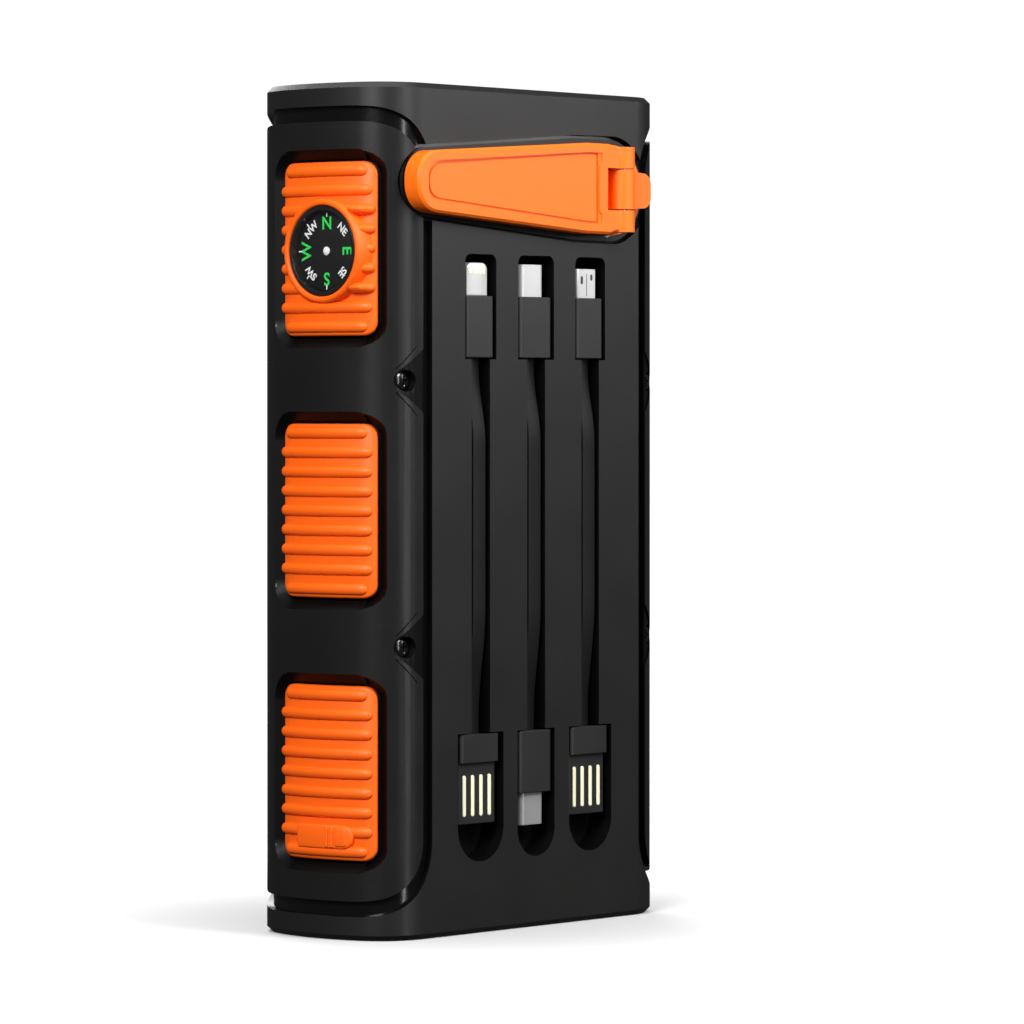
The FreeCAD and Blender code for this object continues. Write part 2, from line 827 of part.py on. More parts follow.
def pull_tab():
    """The raised finger tab near the cover's foot, moulded across a rib."""
    middle = pad_levels[2] - pad_height / 2 + tab_from_foot
    low = middle - pull_tab_half
    high = middle + pull_tab_half
    front = pad_front_y + pull_tab_front
    back = pad_back_y - pull_tab_back
    outline = [(front, low, pull_tab_nose), (front, high, pull_tab_nose), (back, high, 0.8), (back, low, 0.8)]
    tab = side_slab(outline, LEFT, side_inside_x, half_width + 1)
    return tab.common(skin(pad_recess - pull_tab_proud, pad_recess + rib_root, low, high))


# ---- crank ----
def build_crank():
    """The hub with its hinge tongue, the folding arm, its grip, and the pins they turn on."""
    hub = rod((crank_x, disc_front_y, crank_z), (0, 1, 0), hub_radius, disc_back_y - disc_front_y)
    barrel = rod((crank_x, barrel_y, crank_z - tongue_half), (0, 0, 1), barrel_radius, 2 * tongue_half)
    web = block(
        crank_x - barrel_radius, crank_x + barrel_radius, barrel_y, disc_front_y,
        crank_z - tongue_half, crank_z + tongue_half,
    )
    tab = slab([
        (crank_x, crank_z - tongue_half, 0), (crank_x + tab_reach, crank_z - tab_half, tab_corner),
        (crank_x + tab_reach, crank_z + tab_half, tab_corner), (crank_x, crank_z + tongue_half, 0),
    ], in_xz, barrel_y, disc_front_y)
    hub = joined([hub, barrel, web, tab])
    pin_hole = rod((crank_x, barrel_y, 0), (0, 0, 1), hinge_pin_radius, far)
    write("crank_hub", hub.cut(pin_hole))
    pin_length = 2 * knuckle_half - 0.6
    write("hinge_pin", rod((crank_x, barrel_y, crank_z - pin_length / 2), (0, 0, 1), hinge_pin_radius, pin_length))

    tip_x = crank_x - arm_length
    wide = [
        (crank_x, knuckle_half, 0.0),
        (crank_x - knuckle_step_at + 1.5, knuckle_half, 0),
        (crank_x - knuckle_step_at, arm_wide_half, 0),
        (crank_x - arm_wide_at, arm_wide_half, 20.0),
        (tip_x + 0.6, arm_tip_half, arm_tip_half * 0.9),
    ]
    upper = [(x, crank_z + half, r) for x, half, r in wide]
    lower = [(x, crank_z - half, r) for x, half, r in reversed(wide)]
    upper[-1] = (tip_x, crank_z + arm_tip_half, arm_tip_half - 0.05)
    lower[0] = (tip_x, crank_z - arm_tip_half, arm_tip_half - 0.05)
    arm = slab(upper + lower, in_xz, arm_top_y, arm_back_y)
    rim = [
        e for e in arm.Edges
        if e.BoundBox.YLength < 0.01 and abs(e.CenterOfMass.y - arm_top_y) < 0.01 and e.CenterOfMass.x < crank_x - 1
    ]
    arm = arm.makeChamfer(arm_edge, rim)
    knuckles = rod((crank_x, barrel_y, crank_z - knuckle_half), (0, 0, 1), barrel_radius, 2 * knuckle_half)
    arm = arm.fuse(knuckles)
    half_slot = tongue_half + tongue_gap
    slot = [
        (crank_x - slot_reach, crank_z - half_slot, 0),
        (crank_x + hub_radius, crank_z - half_slot, 0),
        (crank_x + hub_radius, crank_z + half_slot, 0),
        (crank_x - slot_reach, crank_z + half_slot, 0),
    ]
    arm = arm.cut(slab(slot, in_xz, arm_top_y - barrel_radius, arm_back_y + 1))
    arm = arm.cut(rod((crank_x, barrel_y, 0), (0, 0, 1), hinge_pin_radius + running_gap, far))
    arm = arm.cut(arm_panel())
    arm = arm.cut(grip_recess())
    grip_x = crank_x - arm_length + grip_from_tip
    grip_y = arm_back_y - grip_thickness / 2 - grip_gap
    pin = rod((grip_x, grip_y, crank_z - grip_half - grip_pin_bite), (0, 0, 1), grip_pin_radius,
              2 * (grip_half + grip_pin_bite))
    arm = arm.cut(pin)
    write("crank_arm", arm.removeSplitter())
    write("grip_pin", pin)
    paddle = slab(
        [
            (grip_x, crank_z - grip_half, 0), (grip_x + grip_length, crank_z - grip_half, grip_corner),
            (grip_x + grip_length, crank_z + grip_half, grip_corner), (grip_x, crank_z + grip_half, 0),
        ],
        in_xz, grip_y - grip_thickness / 2, grip_y + grip_thickness / 2,
    )
    nose = rod((grip_x, grip_y, crank_z - grip_half), (0, 0, 1), grip_thickness / 2, 2 * grip_half)
    paddle = joined([paddle, nose])
    for step in range(3):
        x = grip_x + grip_length / 2 + step * grip_groove_pitch
        groove_y = grip_y + grip_thickness / 2 + grip_groove_radius / 2
        paddle = paddle.cut(rod((x, groove_y, 0), (0, 0, 1), grip_groove_radius, far))
    hole = rod((grip_x, grip_y, 0), (0, 0, 1), grip_pin_radius + running_gap, far)
    write("crank_grip", paddle.cut(hole))


def arm_panel():
    """The shallow panel sunk in the arm's top face."""
    left = crank_x - arm_length + panel_inset + 1.0
    right = crank_x - slot_reach - 2.6
    tip_half = arm_tip_half - panel_inset
    wide_half = arm_wide_half - panel_inset
    corners = [
        (left, crank_z - tip_half, tip_half * 0.8),
        (crank_x - arm_wide_at, crank_z - wide_half, 20.0),
        (right + panel_notch, crank_z - wide_half, 0),
        (right + panel_notch, crank_z - panel_notch_half - 0.6, 0),
        (right, crank_z - panel_notch_half, 0),
        (right, crank_z + panel_notch_half, 0),
        (right + panel_notch, crank_z + panel_notch_half + 0.6, 0),
        (right + panel_notch, crank_z + wide_half, 0),
        (crank_x - arm_wide_at, crank_z + wide_half, 20.0),
        (left, crank_z + tip_half, tip_half * 0.8),
    ]
    return slab(corners, in_xz, arm_top_y - 1, arm_top_y + panel_depth)


def grip_recess():
    """The pocket in the arm's back face that the grip folds into."""
    grip_x = crank_x - arm_length + grip_from_tip
    half = grip_half + grip_gap
    reach = grip_thickness / 2 + grip_gap
    corners = box_corners(grip_x - reach, grip_x + grip_length + 1.2, crank_z - half, crank_z + half)
    return slab(corners, in_xz, arm_back_y - grip_thickness - 2 * grip_gap, arm_back_y + 1)


# ---- gears ----
def gear(teeth, centre, y, face, bore, phase):
    """A spur gear about an axis along Y, one tooth pointing at phase degrees."""
    pitch_radius = gear_module * teeth / 2
    base = pitch_radius * math.cos(math.radians(pressure_angle))
    outer = pitch_radius + addendum * gear_module
    root = pitch_radius - dedendum * gear_module
    involute = math.tan(math.radians(pressure_angle)) - math.radians(pressure_angle)
    half_tooth = math.pi / (2 * teeth) - gear_backlash / 2 / pitch_radius

    def flank(radius):
        if radius <= base:
            return half_tooth + involute
        swing = math.acos(base / radius)
        return half_tooth + involute - (math.tan(swing) - swing)

    levels = [root, outer] if teeth > 2 * pinion_teeth else [root, pitch_radius, outer]
    points = []
    for tooth in range(teeth):
        middle = math.radians(phase) + 2 * math.pi * tooth / teeth
        for radius in levels:
            points.append((radius, middle - flank(radius)))
        for radius in reversed(levels):
            points.append((radius, middle + flank(radius)))
    corners = [Vector(centre[0] + r * math.cos(a), y, centre[1] + r * math.sin(a)) for r, a in points]
    face_shape = Part.Face(Part.makePolygon(corners + corners[:1]))
    blank = face_shape.extrude(Vector(0, face, 0))
    return blank.cut(rod((centre[0], y - 1, centre[1]), (0, 1, 0), bore, face + 2))


def train():
    """The centres of the crank, the two idlers and the rotor, in the front view."""
    centres = [(crank_x, crank_z)]
    reaches = [drive_teeth + pinion_teeth, wheel_teeth + pinion_teeth, wheel_teeth + pinion_teeth]
    for angle, teeth in zip(train_angles, reaches):
        x, z = centres[-1]
        reach = gear_module * teeth / 2
        centres.append((x + reach * math.cos(math.radians(angle)), z + reach * math.sin(math.radians(angle))))
    return centres


def meshed_phase(angle, teeth):
    """The phase that puts a tooth gap where a driver's tooth comes in from angle."""
    return angle + 180 + 180 / teeth


def build_gears():
    """The drive gear, two compound idlers and the rotor with its pinion."""
    centres = train()
    first, second, third = train_angles
    write("drive_gear", gear(drive_teeth, centres[0], drive_y, drive_face, shaft_radius, first))
    shaft = rod((crank_x, disc_back_y, crank_z), (0, 1, 0), shaft_radius, back_plate_y - running_gap - disc_back_y)
    journal = rod((crank_x, back_plate_y - 1, crank_z), (0, 1, 0), journal_radius, plate_thickness + 1)
    write("crank_shaft", shaft.fuse(journal).removeSplitter())
    bore = axle_radius + running_gap
    stages = ((1, drive_y, drive_face, stage_two_y, first, second), (2, stage_two_y, gear_face, stage_three_y, second, third))
    for index, pinion_y, pinion_face, wheel_y, inward, outward in stages:
        pinion = gear(pinion_teeth, centres[index], pinion_y, pinion_face, bore, meshed_phase(inward, pinion_teeth))
        wheel = gear(wheel_teeth, centres[index], wheel_y, gear_face, bore, outward)
        x, z = centres[index]
        sleeve = rod((x, pinion_y, z), (0, 1, 0), axle_radius + bush_wall, wheel_y + gear_face - pinion_y)
        sleeve = sleeve.cut(rod((x, pinion_y - 1, z), (0, 1, 0), bore, case_thickness))
        write(f"idler_gear_{index}", pinion.fuse([wheel, sleeve]).removeSplitter())
    x, z = centres[3]
    pinion = gear(pinion_teeth, centres[3], stage_three_y, gear_face, rotor_shaft_radius, meshed_phase(third, pinion_teeth))
    length = dynamo_y + dynamo_length - dynamo_wall - stage_three_y
    shaft = rod((x, stage_three_y, z), (0, 1, 0), rotor_shaft_radius, length)
    drum_y = dynamo_y + dynamo_wall + rotor_gap
    drum = rod((x, drum_y, z), (0, 1, 0), rotor_radius, dynamo_length - 2 * dynamo_wall - 2 * rotor_gap)
    write("dynamo_rotor", joined([pinion, shaft, drum]))
    build_gearbox(centres)


def plate_outline(left):
    """The outline of a gearbox plate: level over the cable trays, with an ear down beside them."""
    right = panel_right - plate_margin / 2
    high = case_height - end_wall - plate_end_gap
    low = pocket_top_z + tray_wall + plate_tray_gap
    ear = slot_centres[-1] + upper_pockets[-1] / 2 + tray_wall + plate_tray_gap
    ear_foot = low - plate_ear
    return [
        (left, low, 0), (ear, low, 0), (ear, ear_foot, 0),
        (right, ear_foot, 0), (right, high, 0), (left, high, 0),
    ]


def build_gearbox(centres):
    """Two plates on four pillars, the idlers' fixed axles, the hub bush and the dynamo's can and coils."""
    front_left = panel_left + plate_margin / 2
    back_left = centres[3][0] - dynamo_radius
    front = slab(plate_outline(front_left), in_xz, plate_front_y, plate_front_y + plate_thickness)
    back = slab(plate_outline(back_left), in_xz, back_plate_y, back_plate_y + plate_thickness)
    bush_radius = shaft_radius + bush_wall
    front = front.cut(rod((crank_x, front_y, crank_z), (0, 1, 0), bush_radius, half_thickness))
    bush = rod((crank_x, plate_front_y, crank_z), (0, 1, 0), bush_radius, plate_thickness + bush_flange)
    bush = bush.cut(rod((crank_x, front_y, crank_z), (0, 1, 0), shaft_radius + running_gap, half_thickness))
    write("hub_bush", bush)
    back = back.cut(rod((crank_x, front_y, crank_z), (0, 1, 0), journal_radius + running_gap, case_thickness))
    axles = []
    for x, z in centres[1:3]:
        axle = rod((x, plate_front_y, z), (0, 1, 0), axle_radius, back_plate_y + plate_thickness - plate_front_y)
        axles.append(axle)
        front = front.cut(axle)
        back = back.cut(axle)
    rotor_x, rotor_z = centres[3]
    back = back.cut(rod((rotor_x, front_y, rotor_z), (0, 1, 0), rotor_shaft_radius + rotor_gap, case_thickness))
    pillars = []
    inset = pillar_radius + pillar_edge
    right = panel_right - plate_margin / 2 - inset
    high = case_height - end_wall - plate_end_gap - inset
    low = pocket_top_z + tray_wall + plate_tray_gap - plate_ear + inset
    y0 = plate_front_y + plate_thickness
    for x, z in ((right, high), (right, low), (0.0, high), (front_left + inset, high)):
        pillars.append(rod((x, y0, z), (0, 1, 0), pillar_radius, back_plate_y - y0))
    write("gear_plate_front", front)
    write("gear_plate_back", back)
    write("idler_axles", Part.makeCompound(axles))
    write("gearbox_pillars", Part.makeCompound(pillars))
    can = rod((rotor_x, dynamo_y, rotor_z), (0, 1, 0), dynamo_radius, dynamo_length)
    can = can.cut(rod((rotor_x, dynamo_y + dynamo_wall, rotor_z), (0, 1, 0), dynamo_radius - dynamo_wall,
                      dynamo_length - 2 * dynamo_wall))
    can = can.cut(rod((rotor_x, dynamo_y - 1, rotor_z), (0, 1, 0), rotor_shaft_radius + running_gap,
                      dynamo_wall + 1 + rotor_gap))
    write("dynamo_can", can)
    inside = dynamo_radius - dynamo_wall
    coil = rod((rotor_x, dynamo_y + dynamo_wall, rotor_z), (0, 1, 0), inside, dynamo_length - 2 * dynamo_wall)
    coil = coil.cut(rod((rotor_x, dynamo_y, rotor_z), (0, 1, 0), inside - coil_width, dynamo_length))
    write("dynamo_coils", coil)


# ---- cables ----
def soft_box(x, half, y0, y1, z0, z1, radius):
    """An upright block with its long edges rounded."""
    return slab(box_corners(x - half, x + half, y0, y1, radius), in_xy, z0, z1)


def tip_shell(index, x, z0, z1):
    """A cable's metal tip, round-ended where its thickness allows."""
    y0 = plug_front_y + tip_sink
    return soft_box(x, tip_widths[index] / 2, y0, y0 + tip_thicknesses[index], z0, z1, tip_corners[index])


def tip_mouth(index, x, z0, z1):
    """The hollow of an oval tip."""
    y0 = plug_front_y + tip_sink + shell_wall
    y1 = plug_front_y + tip_sink + tip_thicknesses[index] - shell_wall
    return soft_box(x, tip_widths[index] / 2 - shell_wall, y0, y1, z0, z1, tip_corners[index] - shell_wall)


def build_cables():
    """Three short double-ended cables, each a plug, a metal tip, a flat lead and a plug for the other end."""
    names = ("left", "middle", "right")
    ribbon_y0 = plug_middle_y - ribbon_thickness / 2
    ribbon_y1 = plug_middle_y + ribbon_thickness / 2
    plug_foot = channel_top_z + plug_back_gap
    plug_top = plug_foot + plug_length
    end_top = channel_bottom_z - plug_back_gap
    for index, name in enumerate(names):
        x = slot_centres[index]
        half = upper_plugs[index] / 2
        plug = soft_box(x, half, plug_front_y, plug_back_y, plug_foot, plug_top, plug_fillet)
        write(f"{name}_cable_plug", plug)
        tip = tip_shell(index, x, plug_top, plug_top + tip_lengths[index])
        if index == 1:
            tip = tip.cut(tip_mouth(index, x, plug_top + shell_floor, plug_top + plug_length))
        write(f"{name}_cable_tip", tip)
        lead = soft_box(x, ribbon_half, ribbon_y0, ribbon_y1, end_top, plug_foot, ribbon_thickness / 2 - 0.02)
        write(f"{name}_cable_lead", lead)
        if index == 1:
            end_foot = end_top - end_plug_length
            write("middle_cable_end_plug", soft_box(x, half, plug_front_y, plug_back_y, end_foot, end_top, plug_fillet))
            shell = tip_shell(index, x, end_foot - tip_lengths[index], end_foot)
            write("middle_cable_end_tip", shell.cut(tip_mouth(index, x, end_foot - plug_length, end_foot - shell_floor)))
            continue
        write(f"{name}_cable_usb_plug", usb_plug(x, end_top))


def usb_plug(x, top):
    """A slim USB plug: a housing and a bare tongue with four contact grooves."""
    housing = soft_box(x, usb_housing_width / 2, plug_front_y, plug_back_y, top - usb_housing_length, top, plug_fillet)
    foot = top - usb_housing_length - usb_blade_length
    blade_y0 = plug_front_y + usb_blade_sink
    blade = soft_box(x, usb_blade_width / 2, blade_y0, blade_y0 + usb_blade_thickness, foot, top - 1, blade_corner)
    plug = joined([housing, blade])
    for step in (-1.5, -0.5, 0.5, 1.5):
        middle = x + step * contact_pitch
        groove_foot = foot + contact_from_foot
        groove = block(middle - contact_width / 2, middle + contact_width / 2, blade_y0 - 1, blade_y0 + contact_sink,
                       groove_foot, groove_foot + contact_length)
        plug = plug.cut(groove)
    return plug


# ---- compass, button, lights, torch ----
def build_compass():
    """A liquid compass: a cup with a pivot, a turning card and a domed window."""
    rim_x = -half_width + pad_recess - bezel_proud + rim_sink
    cup_radius = compass_radius - cup_gap
    cup = rod((rim_x, compass_y, compass_z), (1, 0, 0), cup_radius, cup_depth)
    cup = cup.cut(rod((rim_x - 1, compass_y, compass_z), (1, 0, 0), cup_radius - cup_wall, cup_depth - cup_wall + 1))
    floor_x = rim_x + cup_depth - cup_wall
    card_x = rim_x + card_drop
    pivot_x = card_x - pivot_proud
    pivot = rod((pivot_x, compass_y, compass_z), (1, 0, 0), pivot_radius, floor_x - pivot_x + cup_wall / 2)
    write("compass_cup", joined([cup, pivot]))
    card = rod((card_x, compass_y, compass_z), (1, 0, 0), card_radius, card_thickness)
    card = card.cut(rod((card_x - 1, compass_y, compass_z), (1, 0, 0), pivot_radius + running_gap, cup_depth))
    write("compass_card", card)
    ball = (cup_radius ** 2 + dome_rise ** 2) / (2 * dome_rise)
    centre = Vector(rim_x - dome_rise + ball, compass_y, compass_z)
    keep = rod((rim_x - dome_rise - 1, compass_y, compass_z), (1, 0, 0), cup_radius, dome_rise + 1)
    write("compass_lens", Part.makeSphere(ball, centre).common(keep))


def build_small_parts():
    """The power button, its switch board, the charge lights, the torch and the solar panel."""
    face_x = collar_x + button_proud
    flange_radius = button_radius + button_flange
    flange_x = side_surface(abs(compass_y) + flange_radius, seat_depth) - seat_gap
    stem = rod((face_x, compass_y, compass_z), (-1, 0, 0), button_radius, face_x - flange_x + button_flange_thickness / 2)
    crown = [e for e in stem.Edges if abs(e.CenterOfMass.x - face_x) < 0.01]
    stem = stem.makeChamfer(button_chamfer, crown)
    flange = rod((flange_x, compass_y, compass_z), (-1, 0, 0), flange_radius, button_flange_thickness)
    write("power_button", joined([stem, flange]))
    switch_x = flange_x - button_flange_thickness - button_travel - switch_gap
    board_x = switch_x - switch_height
    switch = rod((switch_x, compass_y, compass_z), (-1, 0, 0), switch_radius, switch_height)
    outline = box_corners(switch_board_y[0], switch_board_y[1], compass_z - switch_board_drop,
                          compass_z + switch_board_rise)
    board = slab(outline, in_yz, board_x - switch_board_thickness, board_x)
    foot_z = compass_z - switch_board_drop
    foot = block(board_x, half_width, switch_board_y[0] + 0.5, switch_board_y[0] + 3.5, foot_z, foot_z + 3.0)
    write("switch_board", joined([switch, board, foot.common(plan_prism(cavity_depth, 0, case_height))]))
    pipes = []
    for place in light_places():
        pipes.append(light_pipe(place, 0.0, half_width - cavity_depth + seat_gap, side_surface(place) + light_proud))
    write("indicator_lights", Part.makeCompound(pipes))
    write("torch_lens", slab(torch_corners(0.0), in_xy, case_height - torch_lens_thickness, case_height))
    board_top = case_height - end_wall - torch_gap
    outline = box_corners(-torch_half, torch_half, -torch_radius, torch_radius)
    lamps = [slab(outline, in_xy, board_top - torch_board_thickness, board_top)]
    for x in (-torch_half / 2, torch_half / 2):
        lamps.append(rod((x, 0, board_top), (0, 0, 1), led_radius, led_height))
    write("torch_leds", joined(lamps))
    cover_y = solar_seat_y + solar_thickness
    write("solar_panel", slab(solar_corners(solar_gap), in_xz, solar_seat_y, cover_y))
    write("solar_cover", slab(solar_corners(solar_gap), in_xz, cover_y, cover_y + cover_thickness))


# ---- screws, cells and boards ----
def build_screws():
    """Four pan head screws, put in from the front."""
    screws = []
    for side in (LEFT, RIGHT):
        for z in screw_levels:
            seat = screw_seat_y(side)
            head_y = seat - screw_head_height
            head = rod((screw_x[side], head_y, z), (0, 1, 0), screw_head_radius, screw_head_height)
            shank = rod((screw_x[side], seat, z), (0, 1, 0), screw_shank_radius, screw_length)
            screws.append(joined([head, shank]))
    write("case_screws", Part.makeCompound(screws))


def build_inside():
    """The cells in their cradle, the links across them, and the board with its two sockets."""
    cell_top = cell_foot_z + cell_length
    for index, x in enumerate(cell_centres):
        cell = rod((x, cell_y, cell_foot_z), (0, 0, 1), cell_radius, cell_length)
        nub = rod((x, cell_y, cell_top), (0, 0, 1), cell_nub_radius, cell_nub_height)
        write(f"battery_cell_{index + 1}", joined([cell, nub]))
    left = cell_centres[0] - cell_radius
    right = panel_right - plate_margin / 2
    cradle_y = cell_y + cell_radius * 0.45
    cradle = block(left, right, cradle_y, cavity_back_y, cell_foot_z + cradle_inset, cell_top - cradle_inset)
    for x in cell_centres:
        cradle = cradle.cut(rod((x, cell_y, 0), (0, 0, 1), cell_radius + seat_gap, far))
    write("battery_cradle", cradle)
    links = []
    for z in (cell_foot_z - link_thickness, cell_top + cell_nub_height):
        links.append(block(cell_centres[0] - link_half, cell_centres[-1] + link_half,
                           cell_y - link_half, cell_y + link_half, z, z + link_thickness))
    write("cell_links", Part.makeCompound(links))
    waist_x = board_left + board_waist_inset
    outline = [
        (board_left, board_foot_z, 0), (board_column_right, board_foot_z, 0),
        (board_column_right, board_shelf_z, 0), (board_right, board_shelf_z, 0),
        (board_right, board_top_z, 0), (waist_x, board_top_z, 0),
        (waist_x, board_waist_z, 0), (board_left, board_waist_z, 0),
    ]
    write("main_board", slab(outline, in_xz, board_front_y, board_front_y + board_thickness))
    mouth_x = -side_surface(usb_y0, seat_depth)
    end_x = mouth_x + usb_port_depth
    usb = block(mouth_x, end_x, usb_y0, board_front_y, usb_z0, usb_z1)
    hollow = block(mouth_x - 1, end_x - socket_floor, usb_y0 + socket_wall, board_front_y - socket_wall,
                   usb_z0 + socket_wall, usb_z1 - socket_wall)
    tongue_y = board_front_y - socket_wall - usb_tongue_gap
    tongue = block(mouth_x + 1, end_x - socket_floor / 2, tongue_y - usb_tongue_thickness, tongue_y,
                   usb_z0 + 1.0, usb_z1 - 1.0)
    write("usb_socket", joined([usb.cut(hollow), tongue]))
    end_x = mouth_x + c_port_depth
    shell = soft_port(mouth_x, end_x, 0.0).cut(soft_port(mouth_x - 1, end_x - socket_floor, socket_wall))
    middle_y = (c_y0 + board_front_y) / 2
    blade = block(mouth_x + 1, end_x - socket_floor / 2, middle_y - c_tongue_thickness / 2,
                  middle_y + c_tongue_thickness / 2, c_z0 + 1.4, c_z1 - 1.4)
    write("usb_c_socket", joined([shell, blade]))


def soft_port(x0, x1, wall):
    """The oval body of the small socket, shrunk by its wall."""
    y0 = c_y0 + wall
    y1 = board_front_y - wall
    return slab(box_corners(y0, y1, c_z0 + wall, c_z1 - wall, (y1 - y0) / 2 - 0.01), in_yz, x0, x1)


build_shells()
build_rail(LEFT, "left_rail")
build_rail(RIGHT, "right_rail")
build_pads()
build_crank()
build_gears()
build_cables()
build_compass()
build_small_parts()
build_screws()
build_inside()
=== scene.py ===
import json
import math

import bmesh
import bpy
from mathutils import Matrix, Vector


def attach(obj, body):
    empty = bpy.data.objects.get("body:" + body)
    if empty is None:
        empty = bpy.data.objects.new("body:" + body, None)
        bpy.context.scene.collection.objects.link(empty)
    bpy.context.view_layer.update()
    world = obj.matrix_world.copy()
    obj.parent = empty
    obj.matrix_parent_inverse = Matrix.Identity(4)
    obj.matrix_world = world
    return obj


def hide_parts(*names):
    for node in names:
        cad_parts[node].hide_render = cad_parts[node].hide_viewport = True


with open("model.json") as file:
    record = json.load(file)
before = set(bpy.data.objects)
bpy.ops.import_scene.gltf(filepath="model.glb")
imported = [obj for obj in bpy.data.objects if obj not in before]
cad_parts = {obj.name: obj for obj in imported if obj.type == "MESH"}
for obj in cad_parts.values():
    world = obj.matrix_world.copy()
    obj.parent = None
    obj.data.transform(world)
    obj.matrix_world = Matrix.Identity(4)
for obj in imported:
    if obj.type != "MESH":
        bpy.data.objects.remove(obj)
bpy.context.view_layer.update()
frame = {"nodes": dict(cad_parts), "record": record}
nodes = frame["nodes"]
MM = 0.001

# ---- Studio ----
# A pale floor that glows into a white room, under six soft rectangular lamps: a key and a sheen panel in
# front, a panel on the left, a tall strip for the corner's highlight, one overhead and one behind. The camera
# stands level, at the front left.
scene = bpy.context.scene
scene.view_settings.view_transform = "Standard"
scene.view_settings.look = "None"


def link_mesh(name, mesh, finish=None):
    """An object in the scene that holds a mesh."""
    made = bpy.data.objects.new(name, mesh)
    scene.collection.objects.link(made)
    if finish:
        mesh.materials.clear()
        mesh.materials.append(finish)
    return made


floor_half = 4.0
floor_corners = [(x * floor_half, y * floor_half, 0) for x, y in ((-1, -1), (1, -1), (1, 1), (-1, 1))]
floor_mesh = bpy.data.meshes.new("floor")
floor_mesh.from_pydata(floor_corners, [], [(0, 1, 2, 3)])
floor = link_mesh("floor", floor_mesh)
floor.visible_glossy = False
floor.visible_diffuse = False

# The room is white to the camera and dim to everything else.
wall_seen, wall_ambient, wall_mirrored = 1.02, 0.10, 0.06
world = bpy.data.worlds.new("white_room")
world.use_nodes = True
room = world.node_tree
rays = room.nodes.new("ShaderNodeLightPath")
unseen = room.nodes.new("ShaderNodeMix")
unseen.inputs["A"].default_value = wall_ambient
unseen.inputs["B"].default_value = wall_mirrored
room.links.new(rays.outputs["Is Glossy Ray"], unseen.inputs["Factor"])
bright = room.nodes.new("ShaderNodeMix")
bright.inputs["B"].default_value = wall_seen
room.links.new(unseen.outputs["Result"], bright.inputs["A"])
room.links.new(rays.outputs["Is Camera Ray"], bright.inputs["Factor"])
room.nodes["Background"].inputs["Color"].default_value = (1, 1, 1, 1)
room.links.new(bright.outputs["Result"], room.nodes["Background"].inputs["Strength"])
scene.world = world


def softbox(name, place, aim, width, height, power):
    """A rectangular lamp at a place, turned to face the aim point, unseen by the camera."""
    lamp = bpy.data.lights.new(name, "AREA")
    lamp.shape = "RECTANGLE"
    lamp.size = width
    lamp.size_y = height
    lamp.energy = power
    holder = bpy.data.objects.new(name, lamp)
    holder.location = place
    holder.rotation_euler = (Vector(aim) - Vector(place)).to_track_quat("-Z", "Y").to_euler()
    holder.visible_camera = False
    scene.collection.objects.link(holder)


crank_level, case_level = (0, 0, 0.13), (0, 0, 0.08)
softbox("front_key", (0.03, -0.45, 0.42), crank_level, width=0.22, height=0.16, power=2.3)
softbox("sheen_panel", (0.32, -0.36, 0.25), crank_level, width=0.16, height=0.16, power=0.42)
softbox("left_panel", (-0.72, -0.28, 0.52), case_level, width=0.35, height=0.35, power=8.5)
softbox("corner_strip", (0.06, -0.95, 0.22), (0, 0, 0.09), width=0.07, height=0.75, power=2.3)
softbox("overhead_softbox", (0.0, 0.05, 1.0), (0, 0, 0), width=0.9, height=0.9, power=5.0)
softbox("back_panel", (0.45, 0.75, 0.75), case_level, width=0.6, height=0.6, power=6.0)

lens = bpy.data.cameras.new("long_lens")
lens.lens = 181.05
lens.sensor_width = 36.0
lens.shift_y = -0.1118
lens.clip_start = 0.05
lens.clip_end = 20.0
camera = bpy.data.objects.new("camera", lens)
camera.location = (-0.7839, -0.7108, 0.1075)
camera_facing = Vector((0.7473, 0.6645, 0.0))
camera.rotation_euler = camera_facing.to_track_quat("-Z", "Y").to_euler()
scene.collection.objects.link(camera)
scene.camera = camera


class Tap:
    """One socket of a finish, on which arithmetic adds Math nodes."""

    def __init__(self, recipe, socket):
        self.recipe = recipe
        self.socket = socket

    def maths(self, operation, *values):
        return self.recipe.node("ShaderNodeMath", {"operation": operation}, dict(enumerate(values)))

    def __add__(self, other):
        return self.maths("ADD", self, other)

    __radd__ = __add__

    def __sub__(self, other):
        return self.maths("SUBTRACT", self, other)

    def __mul__(self, other):
        return self.maths("MULTIPLY", self, other)

    def __truediv__(self, other):
        return self.maths("DIVIDE", self, other)

    def __mod__(self, other):
        return self.maths("FLOORED_MODULO", self, other)

    def __pow__(self, other):
        return self.maths("POWER", self, other)

    def __lt__(self, other):
        return self.maths("LESS_THAN", self, other)


